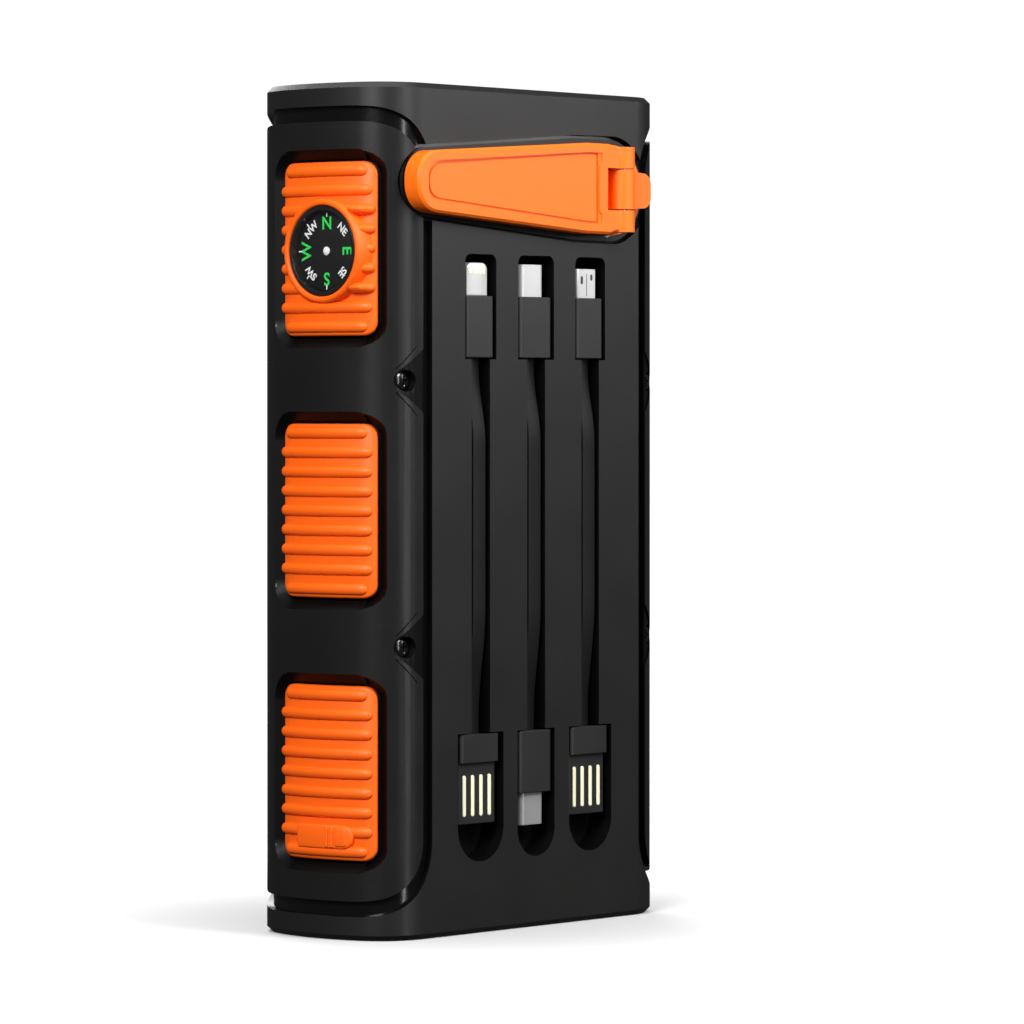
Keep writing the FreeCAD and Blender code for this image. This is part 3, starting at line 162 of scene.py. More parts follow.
class Recipe:
    """A procedural finish: one Principled shader and the nodes that feed it."""

    def __init__(self, name, color, roughness, **fixed):
        self.material = bpy.data.materials.new(name)
        self.material.use_nodes = True
        self.tree = self.material.node_tree
        self.shader = self.tree.nodes["Principled BSDF"]
        self.shader.inputs["Base Color"].default_value = (*color, 1)
        self.shader.inputs["Roughness"].default_value = roughness
        for socket, value in fixed.items():
            self.shader.inputs[socket.replace("_", " ")].default_value = value
        self.place = self.node("ShaderNodeTexCoord", {}, {}, "Object")

    def node(self, kind, settings, values, output=0):
        """One output of a new node, whose inputs take plain values or other taps."""
        made = self.tree.nodes.new(kind)
        for key, value in settings.items():
            setattr(made, key, value)
        for key, value in values.items():
            socket = made.inputs[key]
            if isinstance(value, Tap):
                self.tree.links.new(value.socket, socket)
            elif isinstance(value, tuple) and socket.type == "RGBA":
                socket.default_value = (*value, 1)
            else:
                socket.default_value = value
        return Tap(self, made.outputs[output])

    def feed(self, socket, tap):
        self.tree.links.new(tap.socket, self.shader.inputs[socket])

    def noise(self, scale, detail):
        return self.node("ShaderNodeTexNoise", {}, {"Vector": self.place, "Scale": scale, "Detail": detail})

    def axes(self):
        """The x, y and z of a place on the piece, in metres."""
        parts = self.tree.nodes.new("ShaderNodeSeparateXYZ")
        self.tree.links.new(self.place.socket, parts.inputs[0])
        return [Tap(self, out) for out in parts.outputs]

    def blend(self, mask, low, high):
        """A colour that goes from low to high with the mask."""
        return self.node("ShaderNodeMix", {"data_type": "RGBA"}, {0: mask, 6: low, 7: high}, 2)

    def emboss(self, height, strength, depth):
        """Feed a height, worth depth metres, to the surface normal."""
        self.feed("Normal", self.node(
            "ShaderNodeBump", {}, {"Height": height, "Strength": strength, "Distance": depth}))


# The floor glows, a painted light that grows with distance from the object, so that it melts into the room;
# round the object's foot the glow fades out, a painted darkening that adds to the lamps' shadows there.
paper = Recipe("white_paper", (0.56, 0.56, 0.56), 0.9, Emission_Strength=1.0)
paper_x, paper_y, _ = paper.axes()
distance = (paper_x * paper_x + paper_y * paper_y) ** 0.5
glow = paper.node("ShaderNodeMapRange", {"interpolation_type": "SMOOTHSTEP"},
                  {"Value": distance, "From Min": 0.02, "From Max": 0.175, "To Min": 0.0, "To Max": 1.02})
paper.feed("Emission Color", paper.blend(glow, (0.0, 0.0, 0.0), (1.0, 1.0, 1.0)))
floor.data.materials.append(paper.material)

# ---- Case shells ----
# Two moulded halves of black ABS with a fine spark-eroded grain and small rounded edges. The caps, the wide
# panel and the cable trays are one moulding with the front half, and the two halves meet flush at the seam.
# A groove runs round the foot of the crank bay's wall. Faces deep in the case's recesses, that groove among
# them, get a near-black painted shade, and the grooves beside the caps a glossy near-black painted shade.
seam_y = 1.0 * MM
case_black = (0.0098, 0.0098, 0.0095)
case_rounding = 0.25
half_thickness = 19.4
side_centre_x, side_radius = 9.45, 36.0
corner_centre_x, corner_centre_y, corner_radius, corner_turn_y = 32.71285, 8.0, 11.4, 11.7
cap_height, cap_chamfer, case_height = 12.0, 1.5, 170.0
# From this depth in millimetres on, the case's faces get painted shade.
recess_shade_from = 0.35
crank_bay_low, crank_bay_high, crank_bay_floor = 138.0, 162.0, -18.45
crank_x, crank_z = 24.75, 150.3
bay_tip_x, bay_wide_x = -31.1, 12.75
crank_tip_half, crank_wide_half, crank_hub_half = 5.8, 9.25, 9.4
groove_inner, groove_outer, groove_mouth_y, groove_floor_y = 1.1, 1.75, -22.0, -17.9


def moulded(name, color, roughness, grain_mm, relief_mm, cloudiness=0.15, **fixed):
    """A moulded finish: fine grain in the relief, and slow clouds in the colour and the gloss."""
    cloud_gloss, grain_gloss = 0.12, 0.08
    recipe = Recipe(name, color, roughness, **fixed)
    grain = recipe.noise(scale=0.55 / (grain_mm * MM), detail=2.0)
    clouds = recipe.noise(scale=60.0, detail=4.0)
    darker = tuple(c * (1 - cloudiness) for c in color)
    lighter = tuple(min(1.0, c * (1 + cloudiness)) for c in color)
    recipe.feed("Base Color", recipe.blend(clouds, darker, lighter))
    recipe.feed("Roughness", roughness + (clouds - 0.5) * cloud_gloss + (grain - 0.5) * grain_gloss)
    recipe.emboss(grain, strength=0.35, depth=relief_mm * MM)
    return recipe.material


def skinned(shape, rings):
    """Join each ring of vertices to the next with a band of faces."""
    for ring, following in zip(rings, rings[1:]):
        for step in range(len(ring)):
            after = (step + 1) % len(ring)
            shape.faces.new((ring[step], ring[after], following[after], following[step]))


def closed_mesh(shape):
    """A bmesh as a smooth-shaded mesh with its faces outwards and its sharp edges kept."""
    bmesh.ops.recalc_face_normals(shape, faces=shape.faces)
    if shape.calc_volume(signed=True) < 0:
        bmesh.ops.reverse_faces(shape, faces=shape.faces)
    mesh = bpy.data.meshes.new("shape")
    shape.to_mesh(mesh)
    shape.free()
    mesh.shade_smooth()
    mesh.set_sharp_from_angle(angle=math.radians(38.0))
    return mesh


def band(outline, inner, outer, front_y, back_y):
    """A closed cutter that fills the band between two sizes of an outline, from front_y to back_y."""
    shape = bmesh.new()
    loops = []
    for size, y in ((inner, front_y), (outer, front_y), (outer, back_y), (inner, back_y)):
        loops.append([shape.verts.new(Vector((x, y, z)) * MM) for x, z in outline(size)])
    skinned(shape, loops + loops[:1])
    return closed_mesh(shape)


def bake_down(piece):
    """Turn a piece's modifiers into its plain mesh."""
    graph = bpy.context.evaluated_depsgraph_get()
    result = bpy.data.meshes.new_from_object(piece.evaluated_get(graph))
    piece.modifiers.clear()
    piece.data = result
    return result


def bored(mesh, cutter):
    """A mesh with a closed cutter taken out of it."""
    holder = link_mesh("blank", mesh)
    tool = link_mesh("cutter", cutter)
    cut = holder.modifiers.new("bore", "BOOLEAN")
    cut.operation = "DIFFERENCE"
    cut.solver = "EXACT"
    cut.use_self = True
    cut.object = tool
    result = bake_down(holder)
    for used in (holder, tool):
        bpy.data.objects.remove(used)
    return result


def stand_for(piece, name):
    """Put a piece in a CAD node's place, on the body that carries the node."""
    for body, members in frame["record"]["behaviour"]["bodies"].items():
        if name in members:
            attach(piece, body)
    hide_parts(name)


def dressed(name, finish, rounding_mm, cutter=None):
    """A cleaned copy of a CAD piece, with its sharp edges rounded and its curves shaded smooth.

    A closed cutter, where there is one, is taken out of the copy first.
    """
    weld_distance, flat_deg, sharp_deg, seam_slack = 2e-6, 1.0, 32.0, 1e-6
    mesh = nodes[name].data.copy()
    shape = bmesh.new()
    shape.from_mesh(mesh)
    bmesh.ops.remove_doubles(shape, verts=shape.verts, dist=weld_distance)
    if cutter:
        shape.to_mesh(mesh)
        shape.free()
        mesh = bored(mesh, cutter)
        shape = bmesh.new()
        shape.from_mesh(mesh)
    bmesh.ops.dissolve_limit(shape, angle_limit=math.radians(flat_deg), verts=shape.verts, edges=shape.edges)
    weight = shape.edges.layers.float.new("bevel_weight_edge")
    for edge in shape.edges:
        on_seam = all(abs(corner.co.y - seam_y) < seam_slack for corner in edge.verts)
        sharp = edge.is_manifold and edge.calc_face_angle(0.0) > math.radians(sharp_deg)
        edge[weight] = 1.0 if sharp and not on_seam else 0.0
        edge.smooth = not on_seam
    shape.to_mesh(mesh)
    shape.free()
    mesh.shade_smooth()
    copy = link_mesh(f"{name}_dressed", mesh, finish)
    rounding = copy.modifiers.new("rounding", "BEVEL")
    rounding.width = rounding_mm * MM
    rounding.segments = 2
    rounding.limit_method = "WEIGHT"
    rounding.use_clamp_overlap = True
    smooth = copy.modifiers.new("smooth", "WEIGHTED_NORMAL")
    smooth.keep_sharp = True
    bake_down(copy)
    stand_for(copy, name)
    return copy


def depth_inside(spot):
    """How far a point lies inside the case outline, in millimetres."""
    x, y = abs(spot.x) / MM, abs(spot.y) / MM
    if x < corner_centre_x:
        return half_thickness - y
    if y > corner_turn_y:
        return corner_radius - math.hypot(x - corner_centre_x, y - corner_centre_y)
    return side_radius - math.hypot(x - side_centre_x, y)


case_plastic = moulded(
    "case_plastic", case_black, roughness=0.42, grain_mm=0.30, relief_mm=0.010, Specular_IOR_Level=0.4)
# Painted shade: near-black for faces deep in recesses, and glossy near-black for the grooves beside the caps.
recess_painted_shade = moulded(
    "recess_painted_shade", (0.0015, 0.0015, 0.0015), roughness=0.45, grain_mm=0.5, relief_mm=0.002,
    Specular_IOR_Level=0.12)
groove_painted_shade = moulded(
    "groove_painted_shade", (0.003, 0.003, 0.003), roughness=0.2, grain_mm=0.5, relief_mm=0.002,
    Specular_IOR_Level=0.4)


def paint_recess_shade(piece, from_depth):
    """Paint shade on faces deeper than from_depth millimetres: near-black, and glossy in the grooves by the
    caps.
    """
    shade_slot, glossy_shade_slot = 1, 2
    piece.data.materials.append(recess_painted_shade)
    piece.data.materials.append(groove_painted_shade)
    for face in piece.data.polygons:
        y, z = face.center.y / MM, face.center.z / MM
        on_bay_floor = crank_bay_low < z < crank_bay_high and y < crank_bay_floor and abs(face.normal.y) > 0.9
        from_end = min(z, case_height - z)
        if depth_inside(face.center) > from_depth and not on_bay_floor and from_end > cap_chamfer:
            face.material_index = glossy_shade_slot if from_end < cap_height else shade_slot


def bay_edge(grow):
    """The crank's outline, grown by so much: a round tip, a taper to a shoulder and a round hub."""
    tip, wide, hub = crank_tip_half + grow, crank_wide_half + grow, crank_hub_half + grow
    lean = math.atan2(wide - tip, bay_wide_x - bay_tip_x)
    tip_turns = [math.pi / 2 - lean - (math.pi - 2 * lean) * step / 20 for step in range(20, -1, -1)]
    hub_turns = [math.pi * step / 28 for step in range(29)]
    points = [(bay_tip_x - tip * math.cos(turn), crank_z + tip * math.sin(turn)) for turn in tip_turns]
    points.append((bay_wide_x, crank_z + wide))
    points += [(crank_x + hub * math.sin(turn), crank_z + hub * math.cos(turn)) for turn in hub_turns]
    points.append((bay_wide_x, crank_z - wide))
    return points


bay_groove = band(bay_edge, groove_inner, groove_outer, groove_mouth_y, groove_floor_y)
# The shells' recesses get their painted shade here.
for shell, cutter in (("front_shell", bay_groove), ("back_shell", None)):
    paint_recess_shade(dressed(shell, case_plastic, case_rounding, cutter), recess_shade_from)

# ---- Side bumpers ----
# One-piece overmoulded rails of black thermoplastic rubber that wrap the narrow sides, smoother and darker
# than the case. The windows for the pads are cut a little further round the front corner, and two shallow
# slits mark the land round each left screw. The faces deep in the windows and the slits get a near-black
# painted shade.
bumper_rounding = 0.25
# From this depth in millimetres on, the rails' faces get painted shade.
window_shade_from = 0.15
window_front_y, window_meets_y, window_half = -15.8, -12.6, 19.4
window_corners, window_slope, window_spread = (4.2, 0.1), 0.4, 0.03
pad_recess = 0.9
pad_levels = (137.0, 85.0, 33.0)
screw_levels = (58.0, 110.8)
slit_start, slit_end, slit_half, slit_depth = (38.9, 2.3), (34.5, 6.9), 0.14, 0.35
bumper_rubber = moulded(
    "bumper_rubber", (0.0085, 0.0085, 0.0085), roughness=0.36, grain_mm=0.45, relief_mm=0.005,
    Specular_IOR_Level=0.3)


def on_side(side, y, z, inset):
    """A point of the curved side: y and z on the pads' surface, then straight in or out to an inset."""
    lean = math.atan2(corner_centre_y, corner_centre_x - side_centre_x)
    turn_y = corner_centre_y + (corner_radius - pad_recess) * math.sin(lean)
    if abs(y) > turn_y:
        centre = Vector((corner_centre_x, math.copysign(corner_centre_y, y)))
        radius = corner_radius
    else:
        centre = Vector((side_centre_x, 0))
        radius = side_radius
    rise = y - centre.y
    run = math.sqrt((radius - pad_recess) ** 2 - rise ** 2)
    away = Vector((run, rise)).normalized()
    spot = centre + away * (radius - inset)
    return Vector((side * spot.x, spot.y, z)) * MM


def plate_edge(start, end, half, corners, steps, turns):
    """One long edge of a plate's outline, as (along, across) points, with a round corner at each end."""
    first, last = corners
    leans = [math.pi / 2 * step / turns for step in range(turns + 1)]
    points = [(start + first * (1 - math.cos(lean)), half - first * (1 - math.sin(lean))) for lean in leans]
    bend = points[-1][0]
    for share in (step / steps for step in range(1, steps)):
        points.append((bend * (1 - share) + (end - last) * share, half))
    for lean in reversed(leans):
        points.append((end - last * (1 - math.cos(lean)), half - last * (1 - math.sin(lean))))
    return points


def rounded_plate(start, end, half, corners, edge, low, high, place, steps=2, turns=5):
    """A closed plate from start to end, with its own corner radius at each end and a rounded upper rim.

    Its face stands at the depth high, its back at low, and place puts each point (along, across, depth).
    """
    sign = math.copysign(1.0, high - low)
    rims = [(0.0, low)]
    for lean in (math.radians(30 * step) for step in range(4)):
        rims.append((edge * (1 - math.cos(lean)), high - sign * edge * (1 - math.sin(lean))))
    shape = bmesh.new()
    sides = []
    for shrink, depth in rims:
        tight = [max(radius - shrink, 0.01) for radius in corners]
        columns = plate_edge(start + shrink, end - shrink, half - shrink, tight, steps, turns)
        near = [shape.verts.new(place(u, -v, depth)) for u, v in columns]
        far = [shape.verts.new(place(u, v, depth)) for u, v in columns]
        sides.append((near, far))
    skinned(shape, [near + far[::-1] for near, far in sides])
    for near, far in (sides[0], sides[-1]):
        for index in range(len(near) - 1):
            shape.faces.new((near[index], near[index + 1], far[index + 1], far[index]))
    return closed_mesh(shape)


def joined(meshes):
    """One smooth-shaded mesh from several."""
    shape = bmesh.new()
    for mesh in meshes:
        shape.from_mesh(mesh)
    whole = bpy.data.meshes.new("joined")
    shape.to_mesh(whole)
    shape.free()
    whole.shade_smooth()
    whole.set_sharp_from_angle(angle=math.radians(38.0))
    return whole


def widened(side, level):
    """A cutter that carries a window's front end further round the corner, with a sloping wall."""
    def place(u, v, d):
        slope = window_slope * d * (u - window_meets_y) / (window_front_y - window_meets_y)
        return on_side(side, u + slope, level + v * (1 - window_spread * d), d)

    return rounded_plate(window_front_y, window_meets_y, window_half, window_corners, edge=0.01, low=3.05,
                         high=-0.5, place=place, steps=10)


def tube(shape, rings):
    """A closed mesh from rings of vertices, capped at both ends."""
    skinned(shape, rings)
    shape.faces.new(rings[0])
    shape.faces.new(rings[-1])
    return closed_mesh(shape)


def slit(side, level, away):
    """A cutter for one arm of the shallow V that marks the land round a screw."""
    proud = 0.4
    shape = bmesh.new()
    rings = []
    for share in (index / 8 for index in range(9)):
        x = slit_start[0] + (slit_end[0] - slit_start[0]) * share
        z = level + away * (slit_start[1] + (slit_end[1] - slit_start[1]) * share)
        lean = math.asin((x - corner_centre_x) / corner_radius)
        ring = []
        for inset, rise in ((-proud, -slit_half), (-proud, slit_half), (slit_depth, slit_half),
                            (slit_depth, -slit_half)):
            radius = corner_radius - inset
            out = side * (corner_centre_x + radius * math.sin(lean))
            y = -corner_centre_y - radius * math.cos(lean)
            ring.append(shape.verts.new(Vector((out, y, z + rise)) * MM))
        rings.append(ring)
    return tube(shape, rings)


for side, rail in ((-1, "left_rail"), (1, "right_rail")):
    cutters = [widened(side, level) for level in pad_levels]
    if side < 0:
        cutters += [slit(side, level, away) for level in screw_levels for away in (-1, 1)]
    # The rails' windows and slits get their painted shade here.
    paint_recess_shade(dressed(rail, bumper_rubber, bumper_rounding, joined(cutters)), window_shade_from)

# ---- Grip pads and port cover ----
# Orange silicone pads let into the rails, each with nine half-round ribs that run over its back edge. The
# upper ones are bored for the compass and the power button. The lowest left one is the port cover, with a
# pull tab moulded across its second rib and a hinge bar along its top.
pad_height = 34.6
pad_front_y, pad_back_y = -14.6, 8.7
pad_foot_inset = 3.0
rib_pitch = 3.871875
rib_from_foot = 1.8125
rib_half, rib_rise, rib_sink = 1.1, 0.8, 0.25
rib_span, end_rib_span = (-13.8, 9.05), (-12.9, 7.4)
compass_y, compass_z = -3.45, 136.6
tab_z, hinge_z = 20.4, 49.7
pad_silicone = moulded(
    "pad_silicone", (0.98, 0.128, 0.004), roughness=0.45, grain_mm=0.35, relief_mm=0.005, cloudiness=0.04,
    Specular_IOR_Level=0.35)


def across_side(side):
    """A rule that puts a turned shape's points on the axis through the upper pads, outwards along it."""
    return lambda a, b, out: Vector((side * out, compass_y - side * a, compass_z + b)) * MM


def spun(profile, place, turns):
    """A closed turned shape: profile points (radius, along) carried round an axis by place."""
    shape = bmesh.new()
    rings = []
    for radius, along in profile:
        if radius == 0:
            rings.append([shape.verts.new(place(0, 0, along))])
            continue
        leans = [2 * math.pi * step / turns for step in range(turns)]
        rings.append([shape.verts.new(place(radius * math.cos(lean), radius * math.sin(lean), along))
                      for lean in leans])
    closed = profile[0][0] > 0 and profile[-1][0] > 0
    pairs = list(zip(rings, rings[1:])) + ([(rings[-1], rings[0])] if closed else [])
    for ring, following in pairs:
        for step in range(turns):
            after = (step + 1) % turns
            if len(ring) == 1:
                shape.faces.new((ring[0], following[after], following[step]))
            elif len(following) == 1:
                shape.faces.new((ring[step], ring[after], following[0]))
            else:
                shape.faces.new((ring[step], ring[after], following[after], following[step]))
    return closed_mesh(shape)


def bore_of(side, radius):
    """A round cutter on the axis through an upper pad."""
    return spun([(0, 30), (radius, 30), (radius, 60), (0, 60)], across_side(side), turns=96)


def rib(side, low_y, high_y, lift=0.0, lift_over=1.0):
    """One half-round rib at height zero along the pads' surface, with rounded ends.

    With a lift it climbs by that much over the length lift_over from its front end.
    """
    stations, blend_in, least_swell = 26, 1.15, 0.004
    shape = bmesh.new()
    rings = []
    for index in range(stations + 1):
        y = (low_y + high_y) / 2 - (high_y - low_y) / 2 * math.cos(math.pi * index / stations)
        from_end = min(y - low_y, high_y - y)
        swell = math.sqrt(max(least_swell, 1 - (1 - min(1.0, from_end / blend_in)) ** 2))
        climb = rib_rise * swell + lift * min(1.0, (y - low_y) / lift_over)
        ring = [shape.verts.new(on_side(side, y, -rib_half * swell, pad_recess + rib_sink))]
        for lean in (math.pi * step / 8 for step in range(9)):
            z = -rib_half * swell * math.cos(lean)
            ring.append(shape.verts.new(on_side(side, y, z, pad_recess - climb * math.sin(lean))))
        ring.append(shape.verts.new(on_side(side, y, rib_half * swell, pad_recess + rib_sink)))
        rings.append(ring)
    return tube(shape, rings)


class Pattern:
    """A Geometry Nodes tree with named sizes, which ends in realised copies of a shape in one finish."""

    kinds = {int: "NodeSocketInt", float: "NodeSocketFloat", tuple: "NodeSocketVector"}

    def __init__(self, name, **sizes):
        self.tree = bpy.data.node_groups.new(name, "GeometryNodeTree")
        face = self.tree.interface
        face.new_socket("Shape", in_out="INPUT", socket_type="NodeSocketGeometry")
        face.new_socket("Copies", in_out="OUTPUT", socket_type="NodeSocketGeometry")
        self.keys = {}
        for label, value in sizes.items():
            socket = face.new_socket(label, in_out="INPUT", socket_type=self.kinds[type(value)])
            socket.default_value = value
            self.keys[label] = socket.identifier
        finish = face.new_socket("Finish", in_out="INPUT", socket_type="NodeSocketMaterial")
        self.keys["Finish"] = finish.identifier
        self.given = self.tree.nodes.new("NodeGroupInput").outputs

    def node(self, kind, settings, values):
        """The first output of a new node, whose inputs take plain values or other sockets."""
        made = self.tree.nodes.new(kind)
        for key, value in settings.items():
            setattr(made, key, value)
        for key, value in values.items():
            if isinstance(value, bpy.types.NodeSocket):
                self.tree.links.new(value, made.inputs[key])
            else:
                made.inputs[key].default_value = value
        return made.outputs[0]

    def close(self, copies):
        """Make the copies real, give them their finish and hand them out."""
        real = self.node("GeometryNodeRealizeInstances", {}, {"Geometry": copies})
        finished = self.node(
            "GeometryNodeSetMaterial", {}, {"Geometry": real, "Material": self.given["Finish"]})
        self.tree.links.new(finished, self.tree.nodes.new("NodeGroupOutput").inputs["Copies"])

    def grow(self, seed, finish, **sizes):
        """The plain mesh that the tree makes of a seed mesh."""
        holder = link_mesh("seed", seed)
        grower = holder.modifiers.new("grower", "NODES")
        grower.node_group = self.tree
        grower[self.keys["Finish"]] = finish
        for label, value in sizes.items():
            grower[self.keys[label]] = value
        graph = bpy.context.evaluated_depsgraph_get()
        result = bpy.data.meshes.new_from_object(holder.evaluated_get(graph))
        bpy.data.objects.remove(holder)
        return result


even_row = Pattern("even_row", Count=2, Start=(0.0, 0.0, 0.0), Step=(0.0, 0.0, 0.001))
row_line = even_row.node("GeometryNodeMeshLine", {"mode": "OFFSET"}, {
    "Count": even_row.given["Count"], "Start Location": even_row.given["Start"],
    "Offset": even_row.given["Step"]})
even_row.close(even_row.node("GeometryNodeInstanceOnPoints", {}, {
    "Points": row_line, "Instance": even_row.given["Shape"]}))


def row(seed, finish, count, start, step):
    """Copies of a seed mesh in an even row, with its start and step in millimetres."""
    return even_row.grow(
        seed, finish, Count=count, Start=tuple(v * MM for v in start), Step=tuple(v * MM for v in step))


def pad_moulding(name, side, level, extra=(), bore=0.0):
    """A ribbed pad, bored where asked, with any further moulded forms."""
    first = level - pad_height / 2 + rib_from_foot
    plate = rounded_plate(pad_front_y, pad_back_y, pad_height / 2, (2.6, 2.6), edge=0.6, low=pad_foot_inset,
                          high=pad_recess, place=lambda u, v, d: on_side(side, u, level + v, d), steps=24)
    ribs = row(rib(side, *rib_span), pad_silicone, 7, (0, 0, first + rib_pitch), (0, 0, rib_pitch))
    end_ribs = row(rib(side, *end_rib_span), pad_silicone, 2, (0, 0, first), (0, 0, 8 * rib_pitch))
    if bore:
        plate = bored(plate, bore_of(side, bore))
        ribs = bored(ribs, bore_of(side, bore))
    parts = joined([plate, ribs, end_ribs, *extra])
    stand_for(link_mesh(f"{name}_moulding", parts, pad_silicone), name)


bezel_profile = [
    (9.05, 42.6), (9.05, 45.1), (9.15, 45.4), (9.45, 45.6), (9.9, 45.6), (10.25, 45.35), (10.4, 44.9),
    (10.45, 43.4), (10.45, 41.4), (9.8, 41.2),
]
collar_profile = [
    (5.35, 42.6), (5.35, 44.9), (5.6, 45.15), (6.3, 45.15), (6.7, 44.8), (6.8, 43.6), (6.8, 42.2),
    (6.3, 42.0),
]
bezel = spun(bezel_profile, across_side(-1), turns=96)
collar = spun(collar_profile, across_side(1), turns=72)


def on_cover(u, v, d):
    return on_side(-1, u, tab_z + v, d)


tab = rounded_plate(-10.3, 3.2, 2.35, (2.2, 0.6), edge=0.4, low=1.4, high=-0.15, place=on_cover, steps=14)
tab_step = rounded_plate(-9.0, -6.6, 1.8, (0.6, 0.3), edge=0.18, low=0.2, high=-0.4, place=on_cover, steps=4)
tab_ridges = [
    rounded_plate(y - 0.32, y + 0.32, 2.1, (0.25, 0.25), edge=0.3, low=0.2, high=-0.5, place=on_cover)
    for y in (-4.7, -5.8)
]
hinge = rounded_plate(-5.8, 6.2, 0.45, (0.1, 0.1), edge=0.3, low=2.0, high=1.2,
                      place=lambda u, v, d: on_side(-1, u, hinge_z + v, d), steps=10)
buttress = rib(-1, low_y=-14.3, high_y=-9.6, lift=1.5, lift_over=2.2)
buttresses = row(buttress, pad_silicone, 5, (0, 0, pad_levels[0] - 2 * rib_pitch), (0, 0, rib_pitch))
buttresses = bored(buttresses, bore_of(-1, 9.5))
pad_moulding("left_upper_pad", -1, pad_levels[0], [bezel, buttresses], bore=9.3)
pad_moulding("left_middle_pad", -1, pad_levels[1])
pad_moulding("port_cover", -1, pad_levels[2], [tab, tab_step, hinge, *tab_ridges])
pad_moulding("right_upper_pad", 1, pad_levels[0], [collar], bore=5.9)
pad_moulding("right_middle_pad", 1, pad_levels[1])
pad_moulding("right_lower_pad", 1, pad_levels[2])

# ---- Case screws ----
# Four black-oxide pan head machine screws with a cross recess, driven from the front through the rails.
screw_seats = {-36.6: -16.417, 38.4: -15.580}
head_radius, shank_radius, screw_length = 1.95, 1.1, 24.0
dome_rise, dome_reach = 0.8, 2.1
cross_half, cross_reach, cross_depth, cross_from_y = 0.2, 1.05, 0.4, -0.9
screw_steel = moulded(
    "screw_steel", (0.004, 0.004, 0.004), roughness=0.2, grain_mm=0.5, relief_mm=0.002,
    Specular_IOR_Level=0.6)


def in_screw(x, z, y):
    """A point of the screw, sunk where it lies in the cross recess."""
    crossed = min(abs(x), abs(z)) < cross_half and math.hypot(x, z) < cross_reach and y < cross_from_y
    return Vector((x, y + (cross_depth if crossed else 0.0), z)) * MM


def screw():
    """One screw with its seat at the origin and its head towards the front."""
    profile = [(0, screw_length), (shank_radius, screw_length - 0.6), (shank_radius, 0), (head_radius, 0),
               (head_radius, -0.6)]
    profile += [(r, -0.5 - dome_rise * math.sqrt(1 - (r / dome_reach) ** 2))
                for r in (1.85, 1.6, 1.3, 1.1, 0.9, 0.7, 0.5, 0.3, 0.15)]
    return spun(profile + [(0, -0.85)], in_screw, turns=48)


screws = [row(screw(), screw_steel, 2, (x, seat, screw_levels[0]), (0, 0, screw_levels[1] - screw_levels[0]))
          for x, seat in screw_seats.items()]
stand_for(link_mesh("case_screws_turned", joined(screws), screw_steel), "case_screws")

# ---- Crank ----
# Orange glass-filled nylon: a round hub with a hinge tongue and a thumb tab, the arm that folds out of its
# bay, and the grip folded into the arm's back. A fine line frames the arm's panel, and both joints turn on
# drawn steel pins.
arm_panel_y = -23.1
panel_left, panel_bend, panel_right = -35.55, 12.75, 16.15
panel_tip_half, panel_wide_half, panel_corner = 3.9, 7.35, 3.1
crank_nylon = moulded(
    "crank_nylon", (0.98, 0.160, 0.005), roughness=0.40, grain_mm=0.30, relief_mm=0.006, cloudiness=0.04,
    Specular_IOR_Level=0.4)
drawn_steel = moulded(
    "drawn_steel", (0.62, 0.62, 0.62), roughness=0.25, grain_mm=0.2, relief_mm=0.002, Metallic=1.0)


def panel_edge(shrink):
    """The outline of the arm's sunk panel, taken in by shrink."""
    left, right = panel_left + shrink, panel_right - shrink
    tip, wide = panel_tip_half - shrink, panel_wide_half - shrink
    upper = [(right, wide), (panel_bend, wide)]
    upper += [(left + panel_corner * (1 - math.sin(lean)), tip - panel_corner * (1 - math.cos(lean)))
              for lean in (math.pi / 2 * step / 6 for step in range(7))]
    return [(x, crank_z + z) for x, z in upper + [(x, -z) for x, z in reversed(upper)]]


panel_line = band(panel_edge, inner=0.15, outer=0.6, front_y=arm_panel_y - 0.3, back_y=arm_panel_y + 0.4)
dressed("crank_arm", crank_nylon, rounding_mm=0.3, cutter=panel_line)
dressed("crank_hub", crank_nylon, rounding_mm=0.35)
dressed("crank_grip", crank_nylon, rounding_mm=0.3)
for pin in ("hinge_pin", "grip_pin"):
    dressed(pin, drawn_steel, rounding_mm=0.1)

# ---- Stored cables ----
# Three short flat leads with moulded charcoal plugs. Above, three plated tips for phones; below, two slim USB
# tongues with four gilt strips each and one more oval tip. Each cable is pressed into its tray.
slot_centres = (-15.75, 1.05, 17.85)
cable_plastic = moulded(
    "cable_plastic", (0.016, 0.016, 0.016), roughness=0.42, grain_mm=0.35, relief_mm=0.006)
plated_tip = moulded(
    "plated_tip", (0.66, 0.66, 0.66), roughness=0.3, grain_mm=0.2, relief_mm=0.002, cloudiness=0.06,
    Metallic=0.35)
brushed_tip = moulded(
    "brushed_tip", (0.36, 0.36, 0.36), roughness=0.35, grain_mm=0.2, relief_mm=0.002, cloudiness=0.06,
    Metallic=0.35)
gilt = moulded(
    "gilt", (1.0, 0.97, 0.70), roughness=0.35, grain_mm=0.2, relief_mm=0.002, cloudiness=0.03, Metallic=0.1)
# Near-black, for the painted shade in the right cable tip's latch slots.
latch_slot_shade = moulded("latch_slot_shade", (0.03, 0.03, 0.03), roughness=0.4, grain_mm=0.3, relief_mm=0.002)
# The leads' rubber is darker than the plugs, partly its own colour and partly painted shade of the trays.
lead_rubber_and_tray_shade = moulded(
    "lead_rubber_and_tray_shade", (0.0055, 0.0055, 0.0055), roughness=0.5, grain_mm=0.35, relief_mm=0.004,
    Specular_IOR_Level=0.25)
for side in ("left", "middle", "right"):
    dressed(f"{side}_cable_plug", cable_plastic, rounding_mm=0.2)
for side in ("left", "right"):
    dressed(f"{side}_cable_usb_plug", cable_plastic, rounding_mm=0.12)
dressed("middle_cable_end_plug", cable_plastic, rounding_mm=0.2)
for tip in ("middle_cable_tip", "right_cable_tip"):
    dressed(tip, plated_tip, rounding_mm=0.12)
dressed("middle_cable_end_tip", brushed_tip, rounding_mm=0.12)


